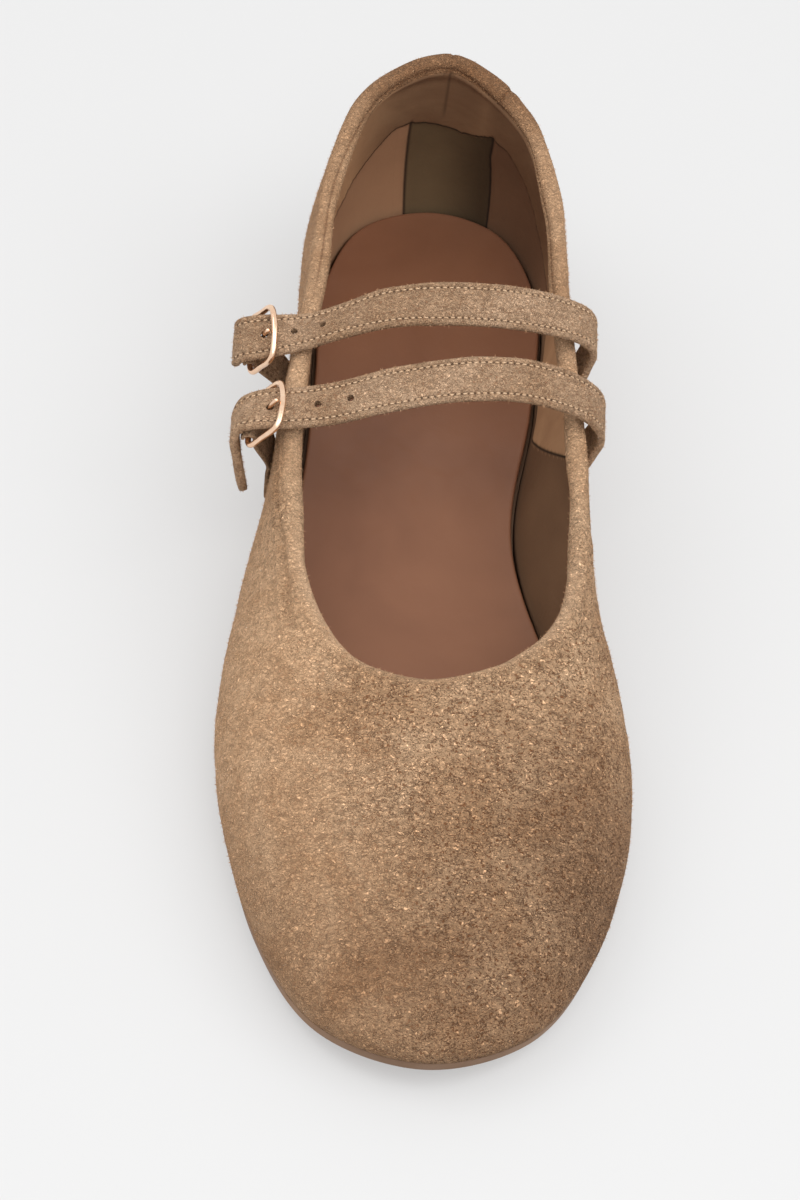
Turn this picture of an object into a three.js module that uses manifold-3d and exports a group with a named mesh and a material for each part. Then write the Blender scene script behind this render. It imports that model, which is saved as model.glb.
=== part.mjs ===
// A suede ballet flat with two buckled straps over the instep, for the right foot.
// Millimetres, +Z up, toe towards -Y, inner (medial) side of the foot towards +X.
// The origin is on the floor, under the middle of the heel's seat.
import * as THREE from "three";
import Module from "manifold-3d";

const wasm = await Module();
wasm.setup();

// Driving sizes of the sole and the last
const shoeLength = 247; // sole, from heel end to toe end
const ballWidth = 83; // sole, across the ball of the foot
const heelSeat = 27; // from the origin back to the sole's heel end
const backHeight = 67.5; // floor to the collar's edge at the back of the heel
const heelHeight = 8; // floor to the underside of the sole at the heel
const toeSpring = 8; // floor to the underside of the sole at the toe
const soleThickness = 2.6;
const soleInset = 0.3; // the sole lies this far inside the upper's edge
const insoleThickness = 2.2;
const insoleCup = 0.8; // how far the insole's edge turns up

// Driving sizes of the upper
const wallThickness = 1.8;
const rollThickness = 4.4; // the turned and padded topline
const rollDepth = 7; // height over which the wall thickens into the roll
const clearance = 0.3; // between two pieces that touch

// Driving sizes of the straps, tabs and buckles
const strapWidth = 10;
const strapThickness = 1.8;
const strapArch = 13; // how high the strap's crest stands over the topline
const tabWidth = 9;
const tabThickness = 0.8;
const strapRootRound = 1.5; // rounding of the strap's sewn end
const strapTipRound = 6; // rounding of its free end
const tabRootRound = 2;
const tabTipRound = 1;
const frameWire = 1.2; // diameter of the buckle's wire
const frameLength = 10.2; // pivot bar to far bar
const framePeak = 0.9; // how far the far bar is bent out in its middle
const frameMargin = 0.7; // between the strap's edge and the frame's side bars
const prongWire = 1;
const frameCorner = 1.2; // radius of the frame's corners
const frameNip = 0.1; // how far the side bars draw in towards the far bar

// Fineness of the facets
const columnsPerRow = 5;
const wallSteps = 11;
const capSteps = 3;
const soleStations = 40;
const strapSteps = 66;

const up = new THREE.Vector3(0, 0, 1);

// Guide rows round the shoe, from the back of the heel by the medial side to the toe and back.
// along and side: the edge where upper meets sole. topAlong, topSide and height: the topline.
// along and topAlong: shares of shoeLength from the heel end. side and topSide: shares of ballWidth, medial
// positive. flare and out: shares of ballWidth by which the wall leans out as it leaves the sole and as it
// meets the topline. rise and drop: how far those two leanings reach up and down, as shares of backHeight,
// like height.
const guideColumns = ["along", "side", "topAlong", "topSide", "height", "flare", "rise", "out", "drop"];
const guideRows = [
  [0, 0, 0.028, -0.007, 0.997, 0.06, 0.296, 0.03, 0.267], // heel back
  [0.026, 0.211, 0.069, 0.224, 0.892, 0.06, 0.296, 0.03, 0.252], // heel corner, medial
  [0.119, 0.331, 0.146, 0.314, 0.794, 0.048, 0.267, 0.03, 0.237], // heel side, medial
  [0.267, 0.319, 0.267, 0.345, 0.719, 0.042, 0.237, 0.024, 0.207], // heel front, medial
  [0.421, 0.272, 0.405, 0.386, 0.662, 0.054, 0.222, 0.018, 0.178], // waist, medial
  [0.593, 0.422, 0.524, 0.4, 0.613, 0.054, 0.207, 0.036, 0.163], // behind the ball, medial
  [0.737, 0.516, 0.615, 0.364, 0.585, 0.096, 0.207, 0.108, 0.141], // ball, medial
  [0.874, 0.452, 0.661, 0.241, 0.575, 0.058, 0.207, 0.265, 0.133], // toe side, medial
  [0.964, 0.289, 0.683, 0.12, 0.572, 0.043, 0.207, 0.434, 0.141], // toe corner, medial
  [1, 0.036, 0.694, 0.012, 0.569, 0.041, 0.207, 0.506, 0.148], // toe tip
  [0.968, -0.219, 0.689, -0.1, 0.563, 0.045, 0.207, 0.434, 0.141], // toe corner, lateral
  [0.866, -0.392, 0.669, -0.229, 0.563, 0.057, 0.207, 0.265, 0.133], // toe side, lateral
  [0.704, -0.488, 0.609, -0.349, 0.587, 0.096, 0.207, 0.108, 0.141], // ball, lateral
  [0.543, -0.464, 0.514, -0.395, 0.615, 0.063, 0.207, 0.042, 0.163], // behind the ball, lateral
  [0.397, -0.373, 0.389, -0.404, 0.662, 0.048, 0.222, 0.024, 0.178], // waist, lateral
  [0.259, -0.346, 0.259, -0.367, 0.726, 0.042, 0.252, 0.024, 0.207], // heel front, lateral
  [0.117, -0.328, 0.146, -0.34, 0.797, 0.051, 0.267, 0.03, 0.237], // heel side, lateral
  [0.032, -0.219, 0.055, -0.232, 0.915, 0.06, 0.296, 0.03, 0.252], // heel corner, lateral
].map((row) => Object.fromEntries(guideColumns.map((column, i) => [column, row[i]])));

// Where the sole leaves the heel, meets the floor, leaves it again, as shares of shoeLength
const heelFlatEnd = 0.26;
const ballFlatStart = 0.56;
const ballFlatEnd = 0.73;
const heelBlockEnd = 0.25;

const smooth = (t) => THREE.MathUtils.smoothstep(t, 0, 1);
const toY = (along) => heelSeat - along;

// Height of the sole's underside at a distance from the heel end
function underside(along) {
  const share = along / shoeLength;
  const heel = heelHeight * (1 - smooth((share - heelFlatEnd) / (ballFlatStart - heelFlatEnd)));
  const toe = toeSpring * Math.max(0, (share - ballFlatEnd) / (1 - ballFlatEnd)) ** 2;
  return heel + toe;
}

// One closed curve through a value of each guide row
function ring(pointOfRow) {
  return new THREE.CatmullRomCurve3(guideRows.map(pointOfRow), true, "centripetal");
}

const featherRing = ring((g) => new THREE.Vector3(g.side * ballWidth, toY(g.along * shoeLength), 0));
const toplineRing = ring(
  (g) => new THREE.Vector3(g.topSide * ballWidth, toY(g.topAlong * shoeLength), g.height * backHeight),
);
const lowHandle = ring((g) => new THREE.Vector3(g.flare * ballWidth, g.rise * backHeight, 0));
const highHandle = ring((g) => new THREE.Vector3(g.out * ballWidth, g.drop * backHeight, 0));

const wrap = (t) => ((t % 1) + 1) % 1;

// Outward direction of the feather edge, level
function outwardAt(t) {
  const step = 1e-3;
  const ahead = featherRing.getPoint(wrap(t + step));
  const behind = featherRing.getPoint(wrap(t - step));
  const tangent = ahead.sub(behind);
  return new THREE.Vector3(tangent.y, -tangent.x, 0).multiplyScalar(ringTurn).normalize();
}

// The ring runs anticlockwise or clockwise: its signed area says which way is out
const ringTurn = Math.sign(
  guideRows.reduce((sum, g, i) => {
    const next = guideRows[(i + 1) % guideRows.length];
    return sum + g.side * -next.along - next.side * -g.along;
  }, 0),
);

// The edge where upper and sole meet
function feather(t) {
  const p = featherRing.getPoint(wrap(t));
  return p.setZ(underside(heelSeat - p.y) + soleThickness + clearance);
}

// Outer face of the upper: t runs round the shoe, v from the sole (0) to the topline (1)
function upperFace(t, v) {
  const foot = feather(t);
  const top = toplineRing.getPoint(wrap(t));
  const out = outwardAt(t);
  const low = lowHandle.getPoint(wrap(t));
  const high = highHandle.getPoint(wrap(t));
  const footHandle = foot.clone().addScaledVector(out, low.x).addScaledVector(up, low.y);
  const topHandle = top.clone().addScaledVector(out, high.x).addScaledVector(up, -high.y);
  return new THREE.CubicBezierCurve3(foot, footHandle, topHandle, top).getPoint(v);
}

function faceNormal(t, v) {
  const step = 1e-3;
  const v0 = Math.max(0, v - step);
  const v1 = Math.min(1, v + step);
  const round = upperFace(t + step, v).sub(upperFace(t - step, v));
  const climb = upperFace(t, v1).sub(upperFace(t, v0));
  return round.cross(climb).multiplyScalar(ringTurn).normalize();
}

// Closed solid through sections of equally many points. A round one joins its last section to its first.
// An end that is folded onto itself is closed already and needs no cap.
function loft(sections, round = false) {
  const points = [];
  const ids = new Map();
  const idOf = (p) => {
    const key = [p.x, p.y, p.z].map((c) => Math.round(c * 1000)).join();
    if (!ids.has(key)) {
      ids.set(key, points.length / 3);
      points.push(p.x, p.y, p.z);
    }
    return ids.get(key);
  };
  const grid = sections.map((section) => section.map(idOf));
  const triangles = [];
  const add = (a, b, c) => {
    if (a !== b && b !== c && c !== a) triangles.push(a, b, c);
  };
  const count = grid[0].length;
  const spans = round ? grid.length : grid.length - 1;
  for (let i = 0; i < spans; i++) {
    const here = grid[i];
    const next = grid[(i + 1) % grid.length];
    for (let j = 0; j < count; j++) {
      const k = (j + 1) % count;
      add(here[j], next[j], next[k]);
      add(here[j], next[k], here[k]);
    }
  }
  if (!round) {
    for (const [section, flip] of [
      [sections[0], false],
      [sections[sections.length - 1], true],
    ]) {
      if (new Set(section.map(idOf)).size < count) continue;
      const middle = section.reduce((m, p) => m.add(p), new THREE.Vector3()).divideScalar(count);
      const centre = idOf(middle);
      for (let j = 0; j < count; j++) {
        const a = idOf(section[j]);
        const b = idOf(section[(j + 1) % count]);
        if (flip) add(centre, b, a);
        else add(centre, a, b);
      }
    }
  }
  return solidOf(points, triangles);
}

// A manifold solid with its faces pointing out
function solidOf(points, triangles) {
  const make = (indices) =>
    new wasm.Manifold(
      new wasm.Mesh({
        numProp: 3,
        vertProperties: new Float32Array(points),
        triVerts: new Uint32Array(indices),
      }),
    );
  const solid = make(triangles);
  if (solid.volume() > 0) return solid;
  const turned = [];
  for (let i = 0; i < triangles.length; i += 3) turned.push(triangles[i], triangles[i + 2], triangles[i + 1]);
  return make(turned);
}

function geometryOf(solid) {
  const mesh = solid.getMesh();
  const geometry = new THREE.BufferGeometry();
  geometry.setAttribute("position", new THREE.BufferAttribute(mesh.vertProperties.slice(), 3));
  geometry.setIndex(new THREE.BufferAttribute(mesh.triVerts.slice(), 1));
  return geometry;
}

// Upper: one wall all round, thickened into a half-round roll along the topline
function wallThicknessAt(t, v) {
  const height = upperFace(t, 1).distanceTo(upperFace(t, v));
  return rollThickness - (rollThickness - wallThickness) * smooth(height / rollDepth);
}

function upperSection(t) {
  const outer = [];
  const inner = [];
  for (let j = 0; j <= wallSteps; j++) {
    // rows lie closer together towards the roll
    const v = 1 - (1 - j / wallSteps) ** 1.35;
    const p = upperFace(t, v);
    outer.push(p);
    inner.push(p.clone().addScaledVector(faceNormal(t, v), -wallThicknessAt(t, v)));
  }
  const last = outer[wallSteps];
  const climb = last.clone().sub(upperFace(t, 0.97)).normalize();
  const middle = last.clone().add(inner[wallSteps]).multiplyScalar(0.5);
  const radial = last.clone().sub(middle);
  const cap = [];
  for (let k = 1; k < capSteps + 1; k++) {
    const angle = (Math.PI * k) / (capSteps + 1);
    cap.push(
      middle
        .clone()
        .addScaledVector(radial, Math.cos(angle))
        .addScaledVector(climb, (Math.sin(angle) * rollThickness) / 2),
    );
  }
  // the foot of the inner face is level with the foot of the outer one
  inner[0].z = feather(t).z;
  return [...outer, ...cap, ...inner.reverse()];
}

function makeUpper() {
  const count = guideRows.length * columnsPerRow;
  const sections = [];
  for (let i = 0; i < count; i++) sections.push(upperSection(i / count));
  return loft(sections, true);
}

// Half-widths of the feather edge, moved outwards by a margin, at a distance from the heel end
const outlinePoints = 720;
function outline(margin) {
  const edge = [];
  for (let i = 0; i < outlinePoints; i++) {
    const t = i / outlinePoints;
    edge.push(featherRing.getPoint(t).addScaledVector(outwardAt(t), margin));
  }
  const alongs = edge.map((p) => heelSeat - p.y);
  const start = Math.min(...alongs);
  const end = Math.max(...alongs);
  const sidesAt = (along) => {
    const sides = [];
    for (let i = 0; i < edge.length; i++) {
      const j = (i + 1) % edge.length;
      const [a, b] = [alongs[i], alongs[j]];
      if (a <= along !== b <= along) {
        sides.push(THREE.MathUtils.lerp(edge[i].x, edge[j].x, (along - a) / (b - a)));
      }
    }
    if (!sides.length) {
      const tip = along - start < end - along ? alongs.indexOf(start) : alongs.indexOf(end);
      return [edge[tip].x, edge[tip].x];
    }
    return [Math.min(...sides), Math.max(...sides)];
  };
  return { start, end, sidesAt };
}

// A flat piece cut to the sole's outline. Its sections are bent: each runs from the edge in to a spine and
// out again, so that at the tips they follow the outline. Heights depend on the way along, and on s, which
// is 0 at the spine and 1 at the edge.
const spineStart = 0.1;
const spineEnd = 0.84;
const acrossSteps = [1, 0.9, 0.62, 0.3, 0];
function slab({ margin, until = 1, lowMargin = margin, bottom, top, stations = soleStations }) {
  const faces = [
    { edge: outline(margin), heightAt: top, steps: acrossSteps },
    { edge: outline(lowMargin), heightAt: bottom, steps: acrossSteps },
  ];
  const sections = [];
  for (let i = 0; i <= stations; i++) {
    const turn = (i / stations) * (until < 1 ? Math.PI / 2 : Math.PI);
    const share = (1 - Math.cos(turn)) / (until < 1 ? 1 : 2);
    const [topArms, bottomArms] = faces.map(({ edge, heightAt, steps }) => {
      const end = until < 1 ? until * shoeLength : edge.end;
      const edgeAlong = THREE.MathUtils.lerp(edge.start, end, share);
      const spineLast = until < 1 ? end : spineEnd * shoeLength;
      const spineAlong = THREE.MathUtils.lerp(spineStart * shoeLength, spineLast, share);
      const sides = edge.sidesAt(edgeAlong);
      const spineSides = edge.sidesAt(spineAlong);
      const spineX = (spineSides[0] + spineSides[1]) / 2;
      const arm = (side, s) => {
        const along = THREE.MathUtils.lerp(spineAlong, edgeAlong, s);
        return new THREE.Vector3(THREE.MathUtils.lerp(spineX, side, s), toY(along), heightAt(along, s));
      };
      const inwards = steps.map((s) => arm(sides[0], s));
      const outwards = [...steps].reverse().slice(1).map((s) => arm(sides[1], s));
      return [...inwards, ...outwards];
    });
    sections.push([...topArms, ...bottomArms.reverse()]);
  }
  return loft(sections);
}

function makeOutsole() {
  return slab({
    margin: -soleInset,
    bottom: (along) => underside(along),
    top: (along) => underside(along) + soleThickness,
  });
}

function makeHeel() {
  return slab({
    margin: -soleInset,
    lowMargin: -clearance,
    until: heelBlockEnd,
    stations: 14,
    bottom: () => 0,
    top: () => heelHeight - clearance,
  });
}

function makeInsole() {
  const seat = soleThickness + 2 * clearance;
  const cup = (s) => insoleCup * s ** 6;
  return slab({
    margin: -wallThickness - 2 * clearance,
    bottom: (along) => underside(along) + seat,
    top: (along, s) => underside(along) + seat + insoleThickness + cup(s),
  });
}

// A point on the topline's curve on one side (1 medial, -1 lateral) at a share of shoeLength
function toplineAt(side, share) {
  let best = 0;
  let least = Infinity;
  for (let i = 0; i < outlinePoints; i++) {
    const t = i / outlinePoints;
    const p = toplineRing.getPoint(t);
    const miss = Math.abs(heelSeat - p.y - share * shoeLength);
    if (Math.sign(p.x) === side && miss < least) {
      best = t;
      least = miss;
    }
  }
  return best;
}

// The two straps. medial and lateral: where each crosses the topline, as shares of shoeLength.
// Path rows beyond the lap on the medial side. across: share of the way from the medial topline point to
// the lateral one. rise and lean: shares of strapArch, above the line between the two points and from it
// to the toe. dip: degrees by which the strap's width slopes down to the toe. turn: degrees by which it
// turns outwards.
// pivotRow: the path row, counted from 0, at which the strap lies over the buckle's pivot bar.
const strapKinds = [
  {
    name: "rear",
    medial: 0.3,
    lateral: 0.322,
    pivotRow: 12.75,
    rows: [
      { across: -0.06, rise: -0.5, lean: 0, dip: 5, turn: 0 },
      { across: -0.075, rise: -0.12, lean: 0.03, dip: 8, turn: 0 },
      { across: -0.045, rise: 0.26, lean: 0.1, dip: 12, turn: 0 },
      { across: 0.06, rise: 0.62, lean: 0.2, dip: 18, turn: 0 },
      { across: 0.24, rise: 0.95, lean: 0.32, dip: 24, turn: 0 },
      { across: 0.46, rise: 1.05, lean: 0.34, dip: 24, turn: 0 },
      { across: 0.68, rise: 0.92, lean: 0.32, dip: 16, turn: 0 },
      { across: 0.85, rise: 0.55, lean: 0.3, dip: 1, turn: 0 },
      { across: 0.96, rise: 0.31, lean: 0.29, dip: 4, turn: 0 },
      { across: 1.06, rise: 0.19, lean: 0.27, dip: 17, turn: 0 },
      { across: 1.13, rise: 0.11, lean: 0.24, dip: 32, turn: 0 },
      { across: 1.185, rise: -0.02, lean: 0.18, dip: 34, turn: 0 },
      { across: 1.206, rise: -0.2, lean: 0.09, dip: 34, turn: 0 },
      { across: 1.206, rise: -0.4, lean: -0.02, dip: 32, turn: 0 },
      { across: 1.2, rise: -0.6, lean: -0.15, dip: 30, turn: 0 },
    ],
  },
  {
    name: "front",
    medial: 0.393,
    lateral: 0.409,
    pivotRow: 12,
    rows: [
      { across: -0.045, rise: -0.62, lean: 0, dip: 5, turn: 0 },
      { across: -0.065, rise: -0.25, lean: 0.02, dip: 10, turn: 0 },
      { across: -0.045, rise: 0.16, lean: 0.06, dip: 14, turn: 0 },
      { across: 0.04, rise: 0.64, lean: 0.16, dip: 18, turn: 0 },
      { across: 0.22, rise: 1.06, lean: 0.26, dip: 24, turn: 0 },
      { across: 0.43, rise: 1.1, lean: 0.31, dip: 24, turn: 0 },
      { across: 0.65, rise: 0.85, lean: 0.34, dip: 22, turn: 0 },
      { across: 0.84, rise: 0.5, lean: 0.36, dip: 18, turn: 0 },
      { across: 0.96, rise: 0.37, lean: 0.36, dip: 15, turn: 0 },
      { across: 1.045, rise: 0.3, lean: 0.33, dip: 12, turn: 3 },
      { across: 1.1, rise: 0.22, lean: 0.3, dip: 8, turn: 5 },
      { across: 1.137, rise: 0.1, lean: 0.27, dip: 5, turn: 5 },
      { across: 1.155, rise: -0.07, lean: 0.26, dip: 4, turn: 4 },
      { across: 1.16, rise: -0.3, lean: 0.27, dip: 4, turn: 0 },
      { across: 1.152, rise: -0.62, lean: 0.3, dip: 4, turn: -6 },
      { across: 1.138, rise: -1.05, lean: 0.34, dip: 4, turn: -12 },
      { across: 1.12, rise: -1.55, lean: 0.4, dip: 4, turn: -16 },
    ],
  },
];

// Laps on the quarter, as heights on the upper's face
const lapLow = 0.3;
const lapHigh = 0.6;
const lapSteps = 4;

// Rows of a band that lies on the upper's outer face: the middle of the band, and the direction of its width
function lapRows(t, thickness) {
  const rows = [];
  for (let i = 0; i <= lapSteps; i++) {
    const v = THREE.MathUtils.lerp(lapLow, lapHigh, i / lapSteps);
    const normal = faceNormal(t, v);
    const middle = upperFace(t, v).addScaledVector(normal, thickness / 2 + clearance);
    const wide = upperFace(t + 2e-3, v).sub(upperFace(t - 2e-3, v)).normalize();
    if (wide.y > 0) wide.negate();
    rows.push({ middle, wide });
  }
  return rows;
}

const toeward = new THREE.Vector3(0, -1, 0);
function widthDirection(dip, turn) {
  const down = THREE.MathUtils.degToRad(dip);
  const around = THREE.MathUtils.degToRad(turn);
  const level = Math.cos(down);
  return new THREE.Vector3(-Math.sin(around) * level, -Math.cos(around) * level, -Math.sin(down));
}

function strapRows(kind) {
  const medialT = toplineAt(1, kind.medial);
  const from = upperFace(medialT, 1);
  const to = upperFace(toplineAt(-1, kind.lateral), 1);
  const free = kind.rows.map((r) => ({
    middle: from
      .clone()
      .lerp(to, r.across)
      .addScaledVector(up, r.rise * strapArch)
      .addScaledVector(toeward, r.lean * strapArch),
    wide: widthDirection(r.dip, r.turn),
  }));
  return [...lapRows(medialT, strapThickness), ...free];
}

// Frames along a band: position, direction, width and face directions
function framesOf(rows, steps) {
  const line = new THREE.CatmullRomCurve3(
    rows.map((r) => r.middle),
    false,
    "centripetal",
  );
  const wides = new THREE.CatmullRomCurve3(
    rows.map((r) => r.wide),
    false,
    "catmullrom",
  );
  // share counts rows, not length, so that steps are short where rows lie close
  const at = (share) => {
    const position = line.getPoint(share);
    const forward = line.getTangent(share);
    const wide = wides.getPoint(share);
    wide.addScaledVector(forward, -wide.dot(forward)).normalize();
    const face = forward.clone().cross(wide).normalize();
    return { position, forward, wide, face };
  };
  const frames = [];
  let length = 0;
  for (let i = 0; i <= steps; i++) {
    const frame = at(i / steps);
    if (i) length += frame.position.distanceTo(frames[i - 1].position);
    frames.push({ share: i / steps, distance: length, ...frame });
  }
  return { frames, at, length };
}

// Share of a band's width at a distance from its end, for a rounded end
function endWidth(distance, rounding) {
  if (distance >= rounding) return 1;
  const s = 1 - distance / rounding;
  return Math.max(0.3, Math.sqrt(1 - s * s));
}

// A band of leather with softened edges
const bandEdge = 0.3;
function band({ frames, length }, width, thickness, startRound, endRound) {
  const sections = frames.map((f) => {
    const rounding = Math.min(endWidth(f.distance, startRound), endWidth(length - f.distance, endRound));
    const half = (width / 2) * rounding;
    const thick = thickness / 2;
    const soft = thick * bandEdge * 2;
    const corners = [
      [half - soft / 2, thick],
      [half, thick - soft],
      [half, soft - thick],
      [half - soft / 2, -thick],
      [soft / 2 - half, -thick],
      [-half, soft - thick],
      [-half, thick - soft],
      [soft / 2 - half, thick],
    ];
    return corners.map(([w, h]) => f.position.clone().addScaledVector(f.wide, w).addScaledVector(f.face, h));
  });
  return loft(sections);
}

// A round wire along a path of points. reference: a direction that the path never runs along.
function wire(points, radius, { closed = false, sides = 8, stepsEach = 3, reference = up } = {}) {
  const line = new THREE.CatmullRomCurve3(points, closed, "centripetal");
  const steps = points.length * stepsEach;
  const sections = [];
  for (let i = 0; i < (closed ? steps : steps + 1); i++) {
    const centre = line.getPointAt(i / steps);
    const forward = line.getTangentAt(i / steps);
    const side = forward.clone().cross(reference).normalize();
    const other = forward.clone().cross(side).normalize();
    sections.push(circle(centre, side, other, radius, sides));
  }
  return loft(sections, closed);
}

function circle(centre, side, other, radius, sides) {
  const points = [];
  for (let k = 0; k < sides; k++) {
    const angle = (2 * Math.PI * (k + 0.5)) / sides;
    const reach = radius / Math.cos(Math.PI / sides);
    points.push(
      centre
        .clone()
        .addScaledVector(side, Math.cos(angle) * reach)
        .addScaledVector(other, Math.sin(angle) * reach),
    );
  }
  return points;
}

// A buckle's frame of reference. pivot: middle of the pivot bar, under the strap at a share of its path.
// far: middle of the far bar, over the strap. along: from the pivot bar to the far bar. wide: along the bars.
// rise: out of the frame's plane, away from the foot.
function buckleFrame(path, pivotShare) {
  const under = tabThickness + strapThickness / 2 + frameWire / 2 + 2 * clearance;
  const over = strapThickness / 2 + frameWire / 2 + 2 * clearance;
  const fold = path.at(pivotShare);
  const pivot = fold.position.clone().addScaledVector(fold.face, -under * faceSign(fold));
  let far;
  let station;
  for (let share = pivotShare; share > 0.5; share -= 0.001) {
    station = path.at(share);
    far = station.position.clone().addScaledVector(station.face, over * faceSign(station));
    if (far.distanceTo(pivot) >= frameLength) break;
  }
  const along = far.clone().sub(pivot).normalize();
  const rise = along.clone().cross(fold.wide.clone().add(station.wide)).normalize();
  if (rise.z < 0) rise.negate();
  const wide = rise.clone().cross(along).normalize();
  const at = (a, w, r = 0) =>
    pivot.clone().addScaledVector(along, a).addScaledVector(wide, w).addScaledVector(rise, r);
  return { pivot, far, along, wide, rise, at };
}

// The face direction points away from the foot when this is 1
function faceSign(frame) {
  const away = new THREE.Vector3(-1, 0, 1);
  return Math.sign(frame.face.dot(away));
}

function makeBuckle(b) {
  const half = strapWidth / 2 + frameMargin + frameWire / 2;
  const outline = [
    [0, 0],
    [0, half - frameCorner],
    [frameCorner, half],
    [frameLength * 0.5, half],
    [frameLength - frameCorner, half - frameNip],
    [frameLength, half - frameCorner],
    [frameLength + framePeak, 0],
    [frameLength, frameCorner - half],
    [frameLength - frameCorner, frameNip - half],
    [frameLength * 0.5, -half],
    [frameCorner, -half],
    [0, frameCorner - half],
  ];
  const points = outline.map(([a, w]) => b.at(a, w));
  return wire(points, frameWire / 2, { closed: true, reference: b.rise });
}

// The prong: an eye that runs back under the pivot bar and over it, and a shank through the strap to the far bar
const eyeDegrees = [340, 290, 240, 190, 140, 90];
function prongPoints(b) {
  const reach = frameWire / 2 + prongWire / 2 + clearance;
  const eye = eyeDegrees.map((degrees) => {
    const angle = THREE.MathUtils.degToRad(degrees);
    return b.at(reach * Math.cos(angle), 0, reach * Math.sin(angle));
  });
  const shank = [
    b.at(frameLength * 0.3, 0, reach * 0.6),
    b.at(frameLength * 0.6, 0, reach * 0.2),
    b.at(frameLength * 0.85, 0, reach * 0.75),
    b.at(frameLength + frameWire * 0.6, 0, reach),
  ];
  return [...eye, ...shank];
}

function makeProng(b, radius = prongWire / 2) {
  return wire(prongPoints(b), radius, { sides: 6, reference: b.wide });
}

// The tab: from its lap on the lateral quarter up to the pivot bar, round it and down again
function tabRows(kind, b) {
  const round = frameWire / 2 + tabThickness / 2 + clearance;
  const lap = lapRows(toplineAt(-1, kind.lateral), tabThickness);
  const loop = [
    [1, -1.2],
    [1, 0],
    [0.7, 0.7],
    [0, 1],
    [-0.7, 0.7],
    [-1, 0],
    [-1, -0.7],
  ];
  const wide = b.wide.clone();
  if (wide.y > 0) wide.negate();
  // the loop lies square to the bar: inward to the foot, and upward from the bar
  const inward = new THREE.Vector3(1, 0, 0).addScaledVector(wide, -wide.x).normalize();
  const upward = inward.clone().cross(wide).normalize();
  if (upward.z < 0) upward.negate();
  const rows = loop.map(([x, z]) => ({
    middle: b.pivot.clone().addScaledVector(inward, x * round).addScaledVector(upward, z * round),
    wide,
  }));
  return [...lap, ...rows];
}

// Materials
const suede = new THREE.MeshStandardMaterial({ color: 0xa88a68, roughness: 0.95, metalness: 0 });
const insoleLeather = new THREE.MeshStandardMaterial({ color: 0x8a6048, roughness: 0.6, metalness: 0 });
const soleLeather = new THREE.MeshStandardMaterial({ color: 0xa67c58, roughness: 0.7, metalness: 0 });
const rosyMetal = new THREE.MeshStandardMaterial({ color: 0xe0b898, roughness: 0.25, metalness: 1 });

const shoe = new THREE.Group();
function place(name, solid, material) {
  const mesh = new THREE.Mesh(geometryOf(solid), material);
  mesh.name = name;
  shoe.add(mesh);
}

place("outsole", makeOutsole(), soleLeather);
place("heel", makeHeel(), soleLeather);
place("insole", makeInsole(), insoleLeather);
place("upper", makeUpper(), suede);

for (const kind of strapKinds) {
  const rows = strapRows(kind);
  const path = framesOf(rows, strapSteps);
  const buckle = buckleFrame(path, (lapSteps + 1 + kind.pivotRow) / (rows.length - 1));
  const prongRoom = makeProng(buckle, prongWire / 2 + clearance);
  const strap = band(path, strapWidth, strapThickness, strapRootRound, strapTipRound).subtract(prongRoom);
  const tabPath = framesOf(tabRows(kind, buckle), 40);
  const tab = band(tabPath, tabWidth, tabThickness, tabRootRound, tabTipRound).subtract(prongRoom);
  place("strap_" + kind.name, strap, suede);
  place("tab_" + kind.name, tab, suede);
  place("buckle_" + kind.name, makeBuckle(buckle), rosyMetal);
  place("prong_" + kind.name, makeProng(buckle), rosyMetal);
}

export default shoe;
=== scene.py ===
import math

import bmesh
import bpy
import numpy as np
from mathutils import Matrix, Vector


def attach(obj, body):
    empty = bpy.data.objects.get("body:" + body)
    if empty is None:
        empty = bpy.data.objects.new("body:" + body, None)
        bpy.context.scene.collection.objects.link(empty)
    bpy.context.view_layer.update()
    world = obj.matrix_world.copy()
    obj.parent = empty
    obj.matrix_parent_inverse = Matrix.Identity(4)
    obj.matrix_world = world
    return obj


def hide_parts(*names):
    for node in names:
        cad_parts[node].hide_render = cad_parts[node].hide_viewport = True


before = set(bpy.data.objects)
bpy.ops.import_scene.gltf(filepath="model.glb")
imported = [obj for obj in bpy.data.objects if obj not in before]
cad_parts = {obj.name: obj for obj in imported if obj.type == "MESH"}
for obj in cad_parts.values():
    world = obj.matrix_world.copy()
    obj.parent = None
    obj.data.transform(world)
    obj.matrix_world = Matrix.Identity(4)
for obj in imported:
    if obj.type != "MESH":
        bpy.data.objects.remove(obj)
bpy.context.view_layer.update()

# Outsole
# A thin sheet of sole leather, cut to the outline of the last and cemented under the drawn-over upper.
# It lies flat under the ball, rises to the heel and turns up at the toe. Its edge is trimmed and sealed.
SOLE_LENGTH = 247.0
BALL_WIDTH = 83.0
HEEL_SEAT = 27.0
COLLAR_HEIGHT = 67.5
HEEL_HEIGHT = 8.0
TOE_SPRING = 8.0
SOLE_THICKNESS = 2.6
SOLE_INSET = 0.3
CLEARANCE = 0.3

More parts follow.
